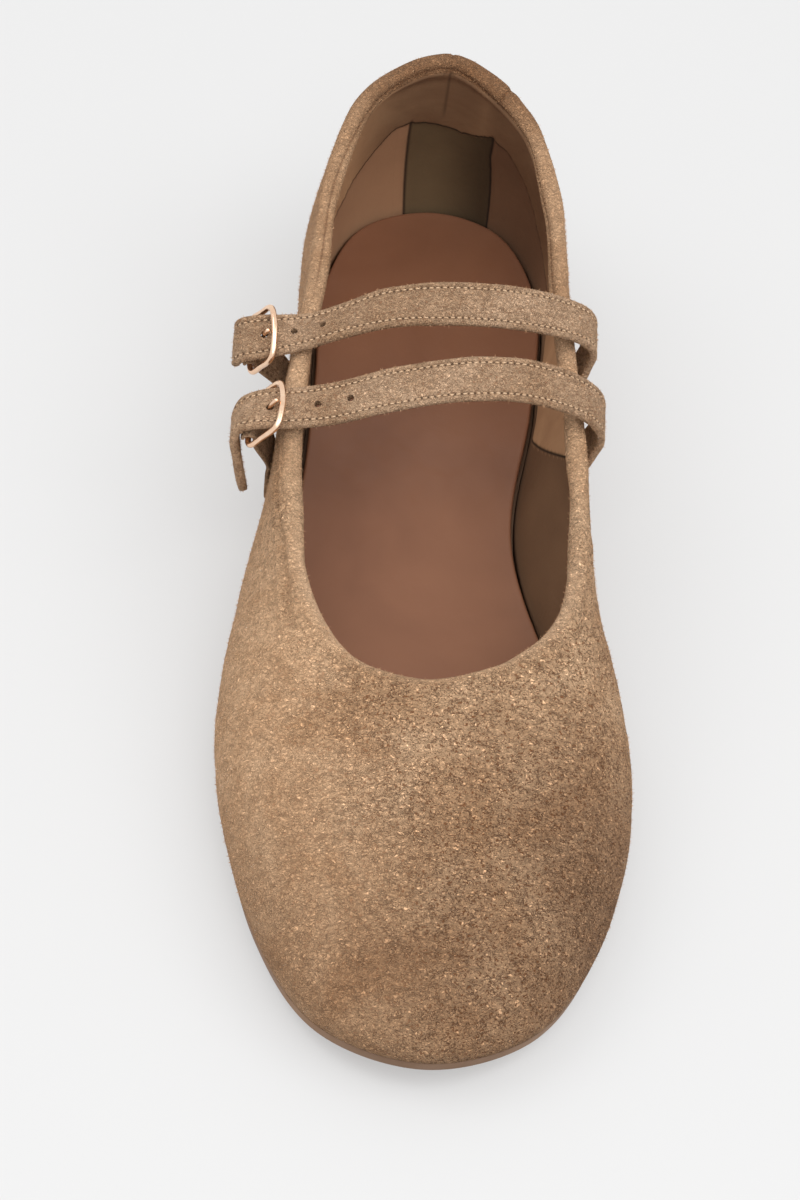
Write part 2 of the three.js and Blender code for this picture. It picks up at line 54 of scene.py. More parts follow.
# Rows round the shoe from the back of the heel by the inner side: sole edge (along, side), topline (along,
# side, height), lean of the wall at the sole (flare, rise) and at the topline (out, drop). They are shares of
# the sole's length, the ball's width and the collar's height.
GUIDE_ROWS = [
    (0, 0, 0.028, -0.007, 0.997, 0.06, 0.296, 0.03, 0.267),
    (0.026, 0.211, 0.069, 0.224, 0.892, 0.06, 0.296, 0.03, 0.252),
    (0.119, 0.331, 0.146, 0.314, 0.794, 0.048, 0.267, 0.03, 0.237),
    (0.267, 0.319, 0.267, 0.345, 0.719, 0.042, 0.237, 0.024, 0.207),
    (0.421, 0.272, 0.405, 0.386, 0.662, 0.054, 0.222, 0.018, 0.178),
    (0.593, 0.422, 0.524, 0.4, 0.613, 0.054, 0.207, 0.036, 0.163),
    (0.737, 0.516, 0.615, 0.364, 0.585, 0.096, 0.207, 0.108, 0.141),
    (0.874, 0.452, 0.661, 0.241, 0.575, 0.058, 0.207, 0.265, 0.133),
    (0.964, 0.289, 0.683, 0.12, 0.572, 0.043, 0.207, 0.434, 0.141),
    (1, 0.036, 0.694, 0.012, 0.569, 0.041, 0.207, 0.506, 0.148),
    (0.968, -0.219, 0.689, -0.1, 0.563, 0.045, 0.207, 0.434, 0.141),
    (0.866, -0.392, 0.669, -0.229, 0.563, 0.057, 0.207, 0.265, 0.133),
    (0.704, -0.488, 0.609, -0.349, 0.587, 0.096, 0.207, 0.108, 0.141),
    (0.543, -0.464, 0.514, -0.395, 0.615, 0.063, 0.207, 0.042, 0.163),
    (0.397, -0.373, 0.389, -0.404, 0.662, 0.048, 0.222, 0.024, 0.178),
    (0.259, -0.346, 0.259, -0.367, 0.726, 0.042, 0.252, 0.024, 0.207),
    (0.117, -0.328, 0.146, -0.34, 0.797, 0.051, 0.267, 0.03, 0.237),
    (0.032, -0.219, 0.055, -0.232, 0.915, 0.06, 0.296, 0.03, 0.252),
]


def spline(points, closed, even=False):
    """A Catmull-Rom curve through the points, as a function of an array from 0 to 1."""
    p = np.array(points, float)
    n = len(p)
    if not closed:
        p = np.vstack([2 * p[0] - p[1], p, 2 * p[-1] - p[-2]])

    def at(t):
        t = np.atleast_1d(np.asarray(t, float))
        place = np.mod(t, 1.0) * n if closed else np.clip(t, 0, 1) * (n - 1)
        i = np.floor(place).astype(int)
        if closed:
            i = i % n
            a, b, c, d = p[(i - 1) % n], p[i], p[(i + 1) % n], p[(i + 2) % n]
        else:
            i = np.minimum(i, n - 2)
            a, b, c, d = p[i], p[i + 1], p[i + 2], p[i + 3]
        w = (place - i if not closed else place - np.floor(place))[:, None]
        if even:
            u, v = (c - a) / 2, (d - b) / 2
        else:
            chords = ((a, b), (b, c), (c, d))
            ab, bc, cd = (np.sqrt(np.linalg.norm(y - x, axis=1))[:, None] for x, y in chords)
            bc = np.where(bc < 1e-4, 1.0, bc)
            ab, cd = np.where(ab < 1e-4, bc, ab), np.where(cd < 1e-4, bc, cd)
            u = ((b - a) / ab - (c - a) / (ab + bc) + (c - b) / bc) * bc
            v = ((c - b) / bc - (d - b) / (bc + cd) + (d - c) / cd) * bc
        return b + u * w + (3 * (c - b) - 2 * u - v) * w**2 + (2 * (b - c) + u + v) * w**3

    return at


feather_ring = spline([(r[1] * BALL_WIDTH, HEEL_SEAT - r[0] * SOLE_LENGTH, 0) for r in GUIDE_ROWS], True)


def unit(v):
    return v / np.linalg.norm(v, axis=-1, keepdims=True)


def outward(t):
    """The level direction out of the sole's outline."""
    tangent = feather_ring(t + 1e-3) - feather_ring(t - 1e-3)
    return unit(np.stack([-tangent[:, 1], tangent[:, 0], 0 * t], 1))


def underside(along):
    """Height of the sole's underside at a distance from the heel end."""
    share = np.asarray(along, float) / SOLE_LENGTH
    way = np.clip((share - 0.26) / (0.56 - 0.26), 0, 1)
    heel = HEEL_HEIGHT * (1 - way * way * (3 - 2 * way))
    return heel + TOE_SPRING * np.clip((share - 0.73) / (1 - 0.73), 0, None) ** 2


def outline(margin):
    """The sole's outline moved out by a margin: its two ends, and its two sides at each distance along."""
    t = np.arange(1440) / 1440
    edge = feather_ring(t) + outward(t) * margin
    along, side = HEEL_SEAT - edge[:, 1], edge[:, 0]
    order = []
    middle = np.interp(along, [0, SOLE_LENGTH], [0, 3])
    for keep in (side < middle, side >= middle):
        a, s = along[keep], side[keep]
        rank = np.argsort(a)
        order.append((a[rank], s[rank]))
    start, end = along.min(), along.max()
    tips = side[along.argmin()], side[along.argmax()]

    def sides_at(a):
        out = []
        for x, y in order:
            xs = np.concatenate([[start], x[(x > start) & (x < end)], [end]])
            ys = np.concatenate([[tips[0]], y[(x > start) & (x < end)], [tips[1]]])
            out.append(np.interp(a, xs, ys))
        return out

    return start, end, sides_at


def mesh_of(name, points, faces, merge=1e-6):
    """A new object in metres from points in millimetres, with doubles merged and faces pointing out."""
    bm = bmesh.new()
    verts = [bm.verts.new(p) for p in np.asarray(points, float) / 1000]
    for f in faces:
        if len(set(f)) > 2:
            try:
                bm.faces.new([verts[i] for i in f])
            except ValueError:
                pass
    bmesh.ops.remove_doubles(bm, verts=bm.verts, dist=merge)
    bmesh.ops.dissolve_degenerate(bm, edges=bm.edges, dist=merge)
    bmesh.ops.recalc_face_normals(bm, faces=bm.faces)
    mesh = bpy.data.meshes.new(name)
    bm.to_mesh(mesh)
    bm.free()
    mesh.shade_smooth()
    piece = bpy.data.objects.new(name, mesh)
    bpy.context.scene.collection.objects.link(piece)
    return piece


def grid_faces(rows, columns, rows_round=False, columns_round=False):
    """Quads between the points of a grid that is stored row by row."""
    faces = []
    for i in range(rows if rows_round else rows - 1):
        for j in range(columns if columns_round else columns - 1):
            a, b = i * columns + j, i * columns + (j + 1) % columns
            c, d = ((i + 1) % rows) * columns + (j + 1) % columns, ((i + 1) % rows) * columns + j
            faces.append((a, d, c, b))
    return faces


def sheet_of_sole(name, margin, rounding, bottom, top, until=1.0, low_margin=None, stations=150):
    """A piece cut to the sole's outline, in bent sections from a spine out to a rounded edge."""
    low_margin = margin if low_margin is None else low_margin
    arms = np.array([0, 0.14, 0.3, 0.46, 0.62, 0.76, 0.87, 0.94, 0.98, 1.0])
    turn = np.linspace(0, math.pi if until == 1 else math.pi / 2, stations + 1)
    share = (1 - np.cos(turn)) / (2 if until == 1 else 1)
    rows = [(margin - rounding, s, lambda a, s=s: top(a, s)) for s in arms]
    for angle in (math.radians(d) for d in (22, 45, 68, 90)):
        back_from, down = rounding * (1 - math.sin(angle)), rounding * (1 - math.cos(angle))
        rows.append((margin - back_from, 1, lambda a, d=down: top(a, 1) - d))
    for angle in (math.radians(d) for d in (90, 68, 45, 22)):
        back_from, lift = rounding * (1 - math.sin(angle)), rounding * (1 - math.cos(angle))
        rows.append((low_margin - back_from, 1, lambda a, d=lift: bottom(a, 1) + d))
    rows += [(low_margin - rounding, s, lambda a, s=s: bottom(a, s)) for s in arms[::-1]]
    halves = []
    for side in (0, 1):
        half = []
        for reach, s, height in rows:
            start, end, sides_at = outline(reach)
            end = end if until == 1 else until * SOLE_LENGTH
            edge = start + (end - start) * share
            spine_end = 0.84 * SOLE_LENGTH if until == 1 else end
            spine = 0.1 * SOLE_LENGTH + (spine_end - 0.1 * SOLE_LENGTH) * share
            middle = sum(sides_at(spine)) / 2
            along = spine + (edge - spine) * s
            x = middle + (sides_at(edge)[side] - middle) * s
            half.append(np.stack([x, HEEL_SEAT - along, height(along) + 0 * along], 1))
        halves.append(np.array(half))
    loop = np.concatenate([halves[0], halves[1][::-1]], 0).transpose(1, 0, 2)
    n, m = loop.shape[:2]
    faces = grid_faces(n, m, columns_round=True)
    if until < 1:
        faces.append([(n - 1) * m + j for j in range(m)])
    return mesh_of(name, loop.reshape(-1, 3), faces)


def material(name, roughness=0.6, metallic=0.0, **sockets):
    """A material, its node tree and its shader. Uniform values are set on the shader's own sockets."""
    made = bpy.data.materials.new(name)
    made.use_nodes = True
    shader = made.node_tree.nodes["Principled BSDF"]
    shader.inputs["Roughness"].default_value = roughness
    shader.inputs["Metallic"].default_value = metallic
    for key, value in sockets.items():
        shader.inputs[key.replace("_", " ")].default_value = value
    return made, made.node_tree, shader


def node(tree, kind, values=None, **settings):
    made = tree.nodes.new(kind)
    for key, value in settings.items():
        setattr(made, key, value)
    for key, value in (values or {}).items():
        made.inputs[key].default_value = value
    return made


def ramp(tree, stops):
    """A colour ramp from (place, colour) stops."""
    made = tree.nodes.new("ShaderNodeValToRGB")
    elements = made.color_ramp.elements
    while len(elements) < len(stops):
        elements.new(0.5)
    for element, (place, colour) in zip(elements, stops):
        element.position = place
        element.color = (*colour, 1)
    return made


def linear(r, g, b):
    """A linear colour from 8-bit display values."""
    return tuple((c / 255 / 12.92) if c <= 10 else ((c / 255 + 0.055) / 1.055) ** 2.4 for c in (r, g, b))


def leather_grain():
    """Smooth leather: fine pores, faint creases and uneven dye, as a height, a shade and a gloss mask."""
    tree = bpy.data.node_groups.new("leather grain", "ShaderNodeTree")
    tree.interface.new_socket("Pore size", in_out="INPUT", socket_type="NodeSocketFloat").default_value = 0.9
    tree.interface.new_socket("Height", in_out="OUTPUT", socket_type="NodeSocketFloat")
    tree.interface.new_socket("Shade", in_out="OUTPUT", socket_type="NodeSocketFloat")
    tree.interface.new_socket("Gloss", in_out="OUTPUT", socket_type="NodeSocketFloat")
    ins, outs = node(tree, "NodeGroupInput"), node(tree, "NodeGroupOutput")
    place = node(tree, "ShaderNodeTexCoord")
    size = node(tree, "ShaderNodeMath", {0: 1000.0}, operation="DIVIDE")
    tree.links.new(ins.outputs["Pore size"], size.inputs[1])
    pores = node(tree, "ShaderNodeTexVoronoi", {"Randomness": 1.0}, feature="SMOOTH_F1")
    creases = node(tree, "ShaderNodeTexNoise", {"Scale": 160.0, "Detail": 4.0, "Distortion": 1.2})
    patches = node(tree, "ShaderNodeTexNoise", {"Scale": 28.0, "Detail": 3.0, "Distortion": 0.4})
    for texture in (pores, creases, patches):
        tree.links.new(place.outputs["Object"], texture.inputs["Vector"])
    tree.links.new(size.outputs[0], pores.inputs["Scale"])
    mix = node(tree, "ShaderNodeMath", {1: 0.45}, operation="MULTIPLY_ADD")
    tree.links.new(pores.outputs["Distance"], mix.inputs[0])
    tree.links.new(creases.outputs["Fac"], mix.inputs[2])
    tree.links.new(mix.outputs[0], outs.inputs["Height"])
    shade = node(tree, "ShaderNodeMapRange", {"From Min": 0.3, "From Max": 0.7})
    tree.links.new(patches.outputs["Fac"], shade.inputs["Value"])
    tree.links.new(shade.outputs["Result"], outs.inputs["Shade"])
    gloss = node(tree, "ShaderNodeMapRange", {"From Min": 0.35, "From Max": 0.7})
    tree.links.new(creases.outputs["Fac"], gloss.inputs["Value"])
    tree.links.new(gloss.outputs["Result"], outs.inputs["Gloss"])
    return tree


GRAIN = leather_grain()


def grained(name, dark, light, rough, bump, pore=0.9, **sockets):
    """A leather in two shades of one dye with the grain group's relief."""
    made, tree, shader = material(name, **sockets)
    grain = node(tree, "ShaderNodeGroup", node_tree=GRAIN)
    grain.inputs["Pore size"].default_value = pore
    colours = ramp(tree, [(0.0, dark), (1.0, light)])
    tree.links.new(grain.outputs["Shade"], colours.inputs["Fac"])
    tree.links.new(colours.outputs["Color"], shader.inputs["Base Color"])
    gloss = node(tree, "ShaderNodeMapRange", {"To Min": rough[0], "To Max": rough[1]})
    tree.links.new(grain.outputs["Gloss"], gloss.inputs["Value"])
    tree.links.new(gloss.outputs["Result"], shader.inputs["Roughness"])
    relief = node(tree, "ShaderNodeBump", {"Strength": bump, "Distance": 0.0003})
    tree.links.new(grain.outputs["Height"], relief.inputs["Height"])
    tree.links.new(relief.outputs["Normal"], shader.inputs["Normal"])
    return made


SOLE_LEATHER = grained(
    "sole leather", linear(106, 79, 58), linear(136, 105, 79), rough=(0.55, 0.75), bump=0.3
)


def dress(piece, slot, *materials):
    for m in materials:
        piece.data.materials.append(m)
    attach(piece, "root")
    return piece


outsole = sheet_of_sole(
    "outsole_leather",
    -SOLE_INSET,
    0.45,
    bottom=lambda a, s: underside(a),
    top=lambda a, s: underside(a) + SOLE_THICKNESS,
)
dress(outsole, "sole_leather", SOLE_LEATHER)
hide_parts("outsole")

# Heel
# A low block under the back of the sole, built up from lifts of leather board, with a straight front face.
# It is nailed and cemented on, and its side slopes in a little to the ground.
HEEL_END = 0.25
LIFT = 2.6


def heel_lifts():
    """Board lifts seen on the side as thin level lines, one lift apart."""
    made, tree, shader = material("heel lifts", roughness=0.62)
    grain = node(tree, "ShaderNodeGroup", node_tree=GRAIN)
    place = node(tree, "ShaderNodeTexCoord")
    split = node(tree, "ShaderNodeSeparateXYZ")
    layers = node(tree, "ShaderNodeMath", {1: LIFT / 1000}, operation="DIVIDE")
    within = node(tree, "ShaderNodeMath", operation="FRACT")
    joint = ramp(tree, [(0.0, (0, 0, 0)), (0.06, (1, 1, 1)), (0.94, (1, 1, 1)), (1.0, (0, 0, 0))])
    colours = ramp(tree, [(0.0, linear(112, 82, 58)), (1.0, linear(150, 116, 86))])
    tree.links.new(place.outputs["Object"], split.inputs[0])
    tree.links.new(split.outputs["Z"], layers.inputs[0])
    tree.links.new(layers.outputs[0], within.inputs[0])
    tree.links.new(within.outputs[0], joint.inputs["Fac"])
    tree.links.new(grain.outputs["Shade"], colours.inputs["Fac"])
    darker = node(tree, "ShaderNodeMix", {0: 0.55}, data_type="RGBA", blend_type="MULTIPLY")
    tree.links.new(colours.outputs["Color"], darker.inputs[6])
    tree.links.new(joint.outputs["Color"], darker.inputs[7])
    tree.links.new(darker.outputs[2], shader.inputs["Base Color"])
    relief = node(tree, "ShaderNodeBump", {"Strength": 0.4, "Distance": 0.0002})
    tree.links.new(joint.outputs["Color"], relief.inputs["Height"])
    tree.links.new(relief.outputs["Normal"], shader.inputs["Normal"])
    return made


heel = sheet_of_sole(
    "heel_block",
    -SOLE_INSET,
    0.25,
    bottom=lambda a, s: 0 * a,
    top=lambda a, s: 0 * a + HEEL_HEIGHT - CLEARANCE,
    until=HEEL_END,
    low_margin=-CLEARANCE,
    stations=60,
)
dress(heel, "sole_leather", heel_lifts())
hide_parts("heel")

# Insole
# A full-length sock of smooth brown leather on thin foam, glued to the inner sole from heel to toe.
# Its edge turns up slightly where it meets the wall, and its face is softly pressed by the last.
WALL = 1.8
INSOLE_THICKNESS = 2.2
INSOLE_CUP = 0.8
INSOLE_SEAT = SOLE_THICKNESS + 2 * CLEARANCE

INSOLE_LEATHER = grained(
    "insole leather",
    linear(124, 82, 59),
    linear(140, 95, 69),
    rough=(0.4, 0.58),
    bump=0.12,
    pore=0.7,
    Specular_IOR_Level=0.4,
)


def insole_face(along, s):
    pressed = -0.35 * np.exp(-(((along / SOLE_LENGTH - 0.14) / 0.09) ** 2)) * (1 - s**2)
    ball = -0.3 * np.exp(-(((along / SOLE_LENGTH - 0.68) / 0.1) ** 2)) * (1 - s**2)
    return underside(along) + INSOLE_SEAT + INSOLE_THICKNESS + INSOLE_CUP * s**6 + pressed + ball


insole = sheet_of_sole(
    "insole_sock",
    -WALL - 2 * CLEARANCE,
    0.6,
    bottom=lambda a, s: underside(a) + INSOLE_SEAT,
    top=insole_face,
)
dress(insole, "insole_leather", INSOLE_LEATHER)
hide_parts("insole")

# Upper
# One piece of tan suede drawn over the last and under it, lined with thin brown leather.
# The topline is turned over a soft padding cord into a round roll that runs all round the opening.
ROLL = 4.4
ROLL_DEPTH = 7.0

topline_ring = spline(
    [(r[3] * BALL_WIDTH, HEEL_SEAT - r[2] * SOLE_LENGTH, r[4] * COLLAR_HEIGHT) for r in GUIDE_ROWS], True
)
low_handle = spline([(r[5] * BALL_WIDTH, r[6] * COLLAR_HEIGHT, 0) for r in GUIDE_ROWS], True)
high_handle = spline([(r[7] * BALL_WIDTH, r[8] * COLLAR_HEIGHT, 0) for r in GUIDE_ROWS], True)
UP = np.array([0.0, 0.0, 1.0])


def feather(t):
    p = feather_ring(t)
    p[:, 2] = underside(HEEL_SEAT - p[:, 1]) + SOLE_THICKNESS + CLEARANCE
    return p


def wall_face(t, v):
    """The outer face, t round the shoe and v from the sole to the topline, both arrays of one length."""
    foot, top, out = feather(t), topline_ring(t), outward(t)
    low, high = low_handle(t), high_handle(t)
    a = foot + out * low[:, :1] + UP * low[:, 1:2]
    b = top + out * high[:, :1] - UP * high[:, 1:2]
    v = np.asarray(v, float)[:, None]
    return (1 - v) ** 3 * foot + 3 * (1 - v) ** 2 * v * a + 3 * (1 - v) * v**2 * b + v**3 * top


def wall_normal(t, v):
    step = 1e-3
    low, high = np.maximum(0, v - step), np.minimum(1, v + step)
    across = wall_face(t + step, v) - wall_face(t - step, v)
    climb = wall_face(t, high) - wall_face(t, low)
    n = unit(np.cross(across, climb))
    return n * np.sign((n * outward(t)).sum(1) + 0.3 * n[:, 2])[:, None]


def wall_thickness(t, v):
    height = np.linalg.norm(wall_face(t, np.ones_like(v)) - wall_face(t, v), axis=1)
    w = np.clip(height / ROLL_DEPTH, 0, 1)
    return ROLL - (ROLL - WALL) * w * w * (3 - 2 * w)


def lining_face(t, v):
    """The inner face of the wall."""
    return wall_face(t, v) - wall_normal(t, v) * wall_thickness(t, v)[:, None]


def soft_noise(points, size, seed):
    """Smooth hand-like unevenness, from minus to plus one, as a sum of slanted waves of about one size."""
    rng = np.random.default_rng(seed)
    total = np.zeros(points.shape[:-1])
    for _ in range(9):
        direction = unit(rng.normal(size=3))
        length = size * rng.uniform(0.7, 1.5)
        total += np.sin(points @ direction * 2 * math.pi / length + rng.uniform(0, 6.3))
    return total / 4.5


def soft_step(value, low, high):
    s = np.clip((value - low) / (high - low), 0, 1)
    return s * s * (3 - 2 * s)


COLUMNS = 600
WALL_ROWS = 62
ROLL_ROWS = 13

# Lines that are pressed or sewn into the upper, in millimetres. back: along the topline from the heel's
# centre, inner side positive. across: over the topline from the crown of the roll, into the shoe positive.
# Collar crease: where the roll is stitched down, seen inside the rim of the heel
COLLAR_CREASE = [(-95, -0.8), (-60, 0.4), (-43, 0.8), (-28, 2.4), (-15, 3.2), (0, 3.2), (15, 4), (26, 4),
                 (39, 3.2), (52, 2.6), (95, 1.2)]
# Band crease: a soft fold outside the roll, from under the front strap to where the vamp begins
BAND_CREASE = [(-176, -8.6), (-166, -6.9), (-159, -5), (-148, -4.7), (-142, -5.8), (-124, -7.6), (-105, -8)]
# Lower edge of the suede facing inside the shoe
FACING_EDGE = [(-120, 4), (-85, 37), (-60, 40), (-42, 41), (-27, 39), (-21, 35), (-16, 30.5), (-12, 26.5),
               (-9, 26), (-4, 27.5), (0, 29), (5, 29.7), (9, 28), (13, 24.5), (18.5, 24.5), (24, 28.8),
               (33, 36), (42, 38.5), (60, 40), (85, 37), (120, 3)]
# Where the facing ends towards the toe
FACING_END = (112, 122)
# Where the back panel's left and right seams lie, and how much the right one leans
PANEL_LEFT, PANEL_RIGHT, PANEL_LEAN = -7.6, 13.6, 0.2


def read_off(table, back):
    return np.interp(back, [row[0] for row in table], [row[1] for row in table])


def upper_sections():
    """Closed sections of the upper, row by row: outer face, half-round roll, inner face."""
    t = np.arange(COLUMNS) / COLUMNS
    climb_shares = 1 - (1 - np.linspace(0, 1, WALL_ROWS)) ** 1.35
    one = np.ones(COLUMNS)
    outer = [wall_face(t, one * v) for v in climb_shares]
    last, inner = wall_face(t, one), lining_face(t, one)
    climb = unit(last - wall_face(t, one * 0.97))
    middle, radial = (last + inner) / 2, (last - inner) / 2
    roll = []
    for angle in np.linspace(0, math.pi, ROLL_ROWS + 2)[1:-1]:
        roll.append(middle + radial * math.cos(angle) + climb * (math.sin(angle) * ROLL / 2))
    lining = [lining_face(t, one * v) for v in climb_shares[::-1]]
    lining[-1][:, 2] = feather(t)[:, 2]
    return np.array(outer + roll + lining)


def upper_places(points):
    """back and across of every point."""
    top = topline_ring(np.arange(COLUMNS) / COLUMNS)
    steps = np.linalg.norm(np.roll(top, -1, 0) - top, axis=1)
    gone = np.concatenate([[0], np.cumsum(steps)[:-1]])
    back = np.where(gone > steps.sum() / 2, gone - steps.sum(), gone)
    rises = np.linalg.norm(np.diff(points, axis=0), axis=2)
    run = np.concatenate([np.zeros((1, COLUMNS)), np.cumsum(rises, axis=0)])
    across = run - run[WALL_ROWS + ROLL_ROWS // 2]
    return np.broadcast_to(back, across.shape), across


def band_there(back):
    return soft_step(back, -174, -158) * (1 - soft_step(back, -118, -104))


def upper_creases(back, across):
    """The nearest crease or seam of every point: its distance, how deep, how wide and how dark it is: painted
    shade in a crease, a dark line at a seam.
    """
    inner, outer = np.maximum(across, 0), np.maximum(-across, 0)
    lines = [
        (across - read_off(COLLAR_CREASE, back), 1 - soft_step(np.abs(back), 70, 92), 1.0, 0.8),
        (across - read_off(BAND_CREASE, back), 1.6 * band_there(back), 1.6, 0.12),
        (across - read_off(BAND_CREASE, -back), 0.9 * band_there(-back), 1.6, 0.1),
        (back, 0.5 * (1 - soft_step(inner, 22, 27)) * (1 - soft_step(outer, 70, 90)), 0.5, 0.8),
        (back - 16.4, 0.9 * (1 - soft_step(np.abs(across + 1), 3, 5)), 0.6, 0.9),
        (back - PANEL_LEFT, 0.9 * soft_step(across, 24, 27), 0.7, 1),
        (back - PANEL_RIGHT - PANEL_LEAN * np.maximum(across - 33, 0), soft_step(across, 22, 25), 0.7, 1),
    ]
    distance = np.full(across.shape, 9.0)
    depth = np.zeros(across.shape)
    width = np.ones(across.shape)
    shade = np.zeros(across.shape)
    for d, deep, wide, dark in lines:
        deep = deep * (1 - soft_step(np.abs(d), 2, 3.5))
        nearer = (np.abs(d) < np.abs(distance)) & (deep > 0)
        distance = np.where(nearer, d, distance)
        depth = np.where(nearer, deep, depth)
        width = np.where(nearer, wide, width)
        shade = np.where(nearer, deep * dark, shade)
    return distance, depth, width, shade


def suede_nap():
    """Suede nap: fine tufts parted by short wavy cracks, brushed into patches of two shades. Crack tells the
    materials where to paint shade in the hollows between tufts, Tip where to paint highlight on their tops.
    """
    tree = bpy.data.node_groups.new("suede nap", "ShaderNodeTree")
    tree.interface.new_socket("Tuft size", in_out="INPUT", socket_type="NodeSocketFloat").default_value = 1.0
    for name in ("Height", "Crack", "Tip", "Brushed"):
        tree.interface.new_socket(name, in_out="OUTPUT", socket_type="NodeSocketFloat")
    ins, outs = node(tree, "NodeGroupInput"), node(tree, "NodeGroupOutput")
    link = tree.links.new
    place = node(tree, "ShaderNodeTexCoord")
    size = node(tree, "ShaderNodeMath", {0: 1000.0}, operation="DIVIDE")
    half = node(tree, "ShaderNodeMath", {1: 0.5}, operation="MULTIPLY")
    fine = node(tree, "ShaderNodeMath", {1: 1.7}, operation="MULTIPLY")
    link(ins.outputs["Tuft size"], size.inputs[1])
    link(size.outputs[0], half.inputs[0])
    link(size.outputs[0], fine.inputs[0])
    stray = node(tree, "ShaderNodeTexNoise", {"Scale": 750.0, "Detail": 2.0, "Roughness": 0.6})
    centred = node(tree, "ShaderNodeVectorMath", {1: (0.5, 0.5, 0.5)}, operation="SUBTRACT")
    pulled = node(tree, "ShaderNodeVectorMath", {3: 0.0022}, operation="SCALE")
    bent = node(tree, "ShaderNodeVectorMath", operation="ADD")
    link(place.outputs["Object"], stray.inputs["Vector"])
    link(stray.outputs["Color"], centred.inputs[0])
    link(centred.outputs[0], pulled.inputs[0])
    link(pulled.outputs[0], bent.inputs[0])
    link(place.outputs["Object"], bent.inputs[1])
    lying = node(tree, "ShaderNodeMapping", {"Scale": (0.7, 1.4, 1.4)})
    link(bent.outputs[0], lying.inputs["Vector"])
    cells = node(tree, "ShaderNodeTexVoronoi", {"Randomness": 1.0}, feature="DISTANCE_TO_EDGE")
    parted = node(tree, "ShaderNodeTexNoise", {"Detail": 1.0, "Roughness": 0.5})
    grain = node(tree, "ShaderNodeTexNoise", {"Detail": 2.0, "Roughness": 0.6, "Distortion": 0.5})
    uneven = {"Scale": 42.0, "Detail": 4.0, "Roughness": 0.6, "Distortion": 0.9}
    patches = node(tree, "ShaderNodeTexNoise", uneven)
    link(lying.outputs[0], cells.inputs["Vector"])
    link(place.outputs["Object"], parted.inputs["Vector"])
    link(lying.outputs[0], grain.inputs["Vector"])
    link(place.outputs["Object"], patches.inputs["Vector"])
    link(size.outputs[0], cells.inputs["Scale"])
    link(half.outputs[0], parted.inputs["Scale"])
    link(fine.outputs[0], grain.inputs["Scale"])
    falling = {"To Min": 1.0, "To Max": 0.0}
    near = node(tree, "ShaderNodeMapRange", {"From Max": 0.1, **falling})
    some = node(tree, "ShaderNodeMapRange", {"From Min": 0.42, "From Max": 0.62})
    crack = node(tree, "ShaderNodeMath", operation="MULTIPLY")
    valley = node(tree, "ShaderNodeMapRange", {"From Min": 0.38, "From Max": 0.44, **falling})
    dark = node(tree, "ShaderNodeMath", operation="MAXIMUM")
    for made in (near, some, valley):
        made.interpolation_type = "SMOOTHSTEP"
    link(cells.outputs["Distance"], near.inputs["Value"])
    link(parted.outputs["Fac"], some.inputs["Value"])
    link(near.outputs["Result"], crack.inputs[0])
    link(some.outputs["Result"], crack.inputs[1])
    link(grain.outputs["Fac"], valley.inputs["Value"])
    link(crack.outputs[0], dark.inputs[0])
    link(valley.outputs["Result"], dark.inputs[1])
    link(dark.outputs[0], outs.inputs["Crack"])
    tip = node(tree, "ShaderNodeMapRange", {"From Min": 0.46, "From Max": 0.64})
    link(grain.outputs["Fac"], tip.inputs["Value"])
    link(tip.outputs["Result"], outs.inputs["Tip"])
    deep = node(tree, "ShaderNodeMath", {1: -0.5}, operation="MULTIPLY_ADD")
    link(dark.outputs[0], deep.inputs[0])
    link(tip.outputs["Result"], deep.inputs[2])
    link(deep.outputs[0], outs.inputs["Height"])
    brushed = node(tree, "ShaderNodeMapRange", {"From Min": 0.35, "From Max": 0.65})
    link(patches.outputs["Fac"], brushed.inputs["Value"])
    link(brushed.outputs["Result"], outs.inputs["Brushed"])
    return tree


NAP = suede_nap()


def dark_line(tree, distance, strength, width):
    """A mask that is 1 on a line stored as a signed distance in millimetres, times a stored strength."""
    away = node(tree, "ShaderNodeAttribute", attribute_name=distance)
    size = node(tree, "ShaderNodeMath", operation="ABSOLUTE")
    soft = node(tree, "ShaderNodeMapRange", {"From Max": width, "To Min": 1.0, "To Max": 0.0})
    soft.interpolation_type = "SMOOTHSTEP"
    much = node(tree, "ShaderNodeAttribute", attribute_name=strength)
    both = node(tree, "ShaderNodeMath", operation="MULTIPLY")
    tree.links.new(away.outputs["Fac"], size.inputs[0])
    tree.links.new(size.outputs[0], soft.inputs["Value"])
    tree.links.new(soft.outputs["Result"], both.inputs[0])
    tree.links.new(much.outputs["Fac"], both.inputs[1])
    return both.outputs[0]


def blend_colours(tree, factor, first, second, blend_type="MIX"):
    """A colour mix. factor, first and second: sockets or plain values."""
    made = node(tree, "ShaderNodeMix", data_type="RGBA", blend_type=blend_type)
    for index, value in ((0, factor), (6, first), (7, second)):
        if isinstance(value, bpy.types.NodeSocket):
            tree.links.new(value, made.inputs[index])
        else:
            made.inputs[index].default_value = (*value, 1) if index else value
    return made.outputs[2]


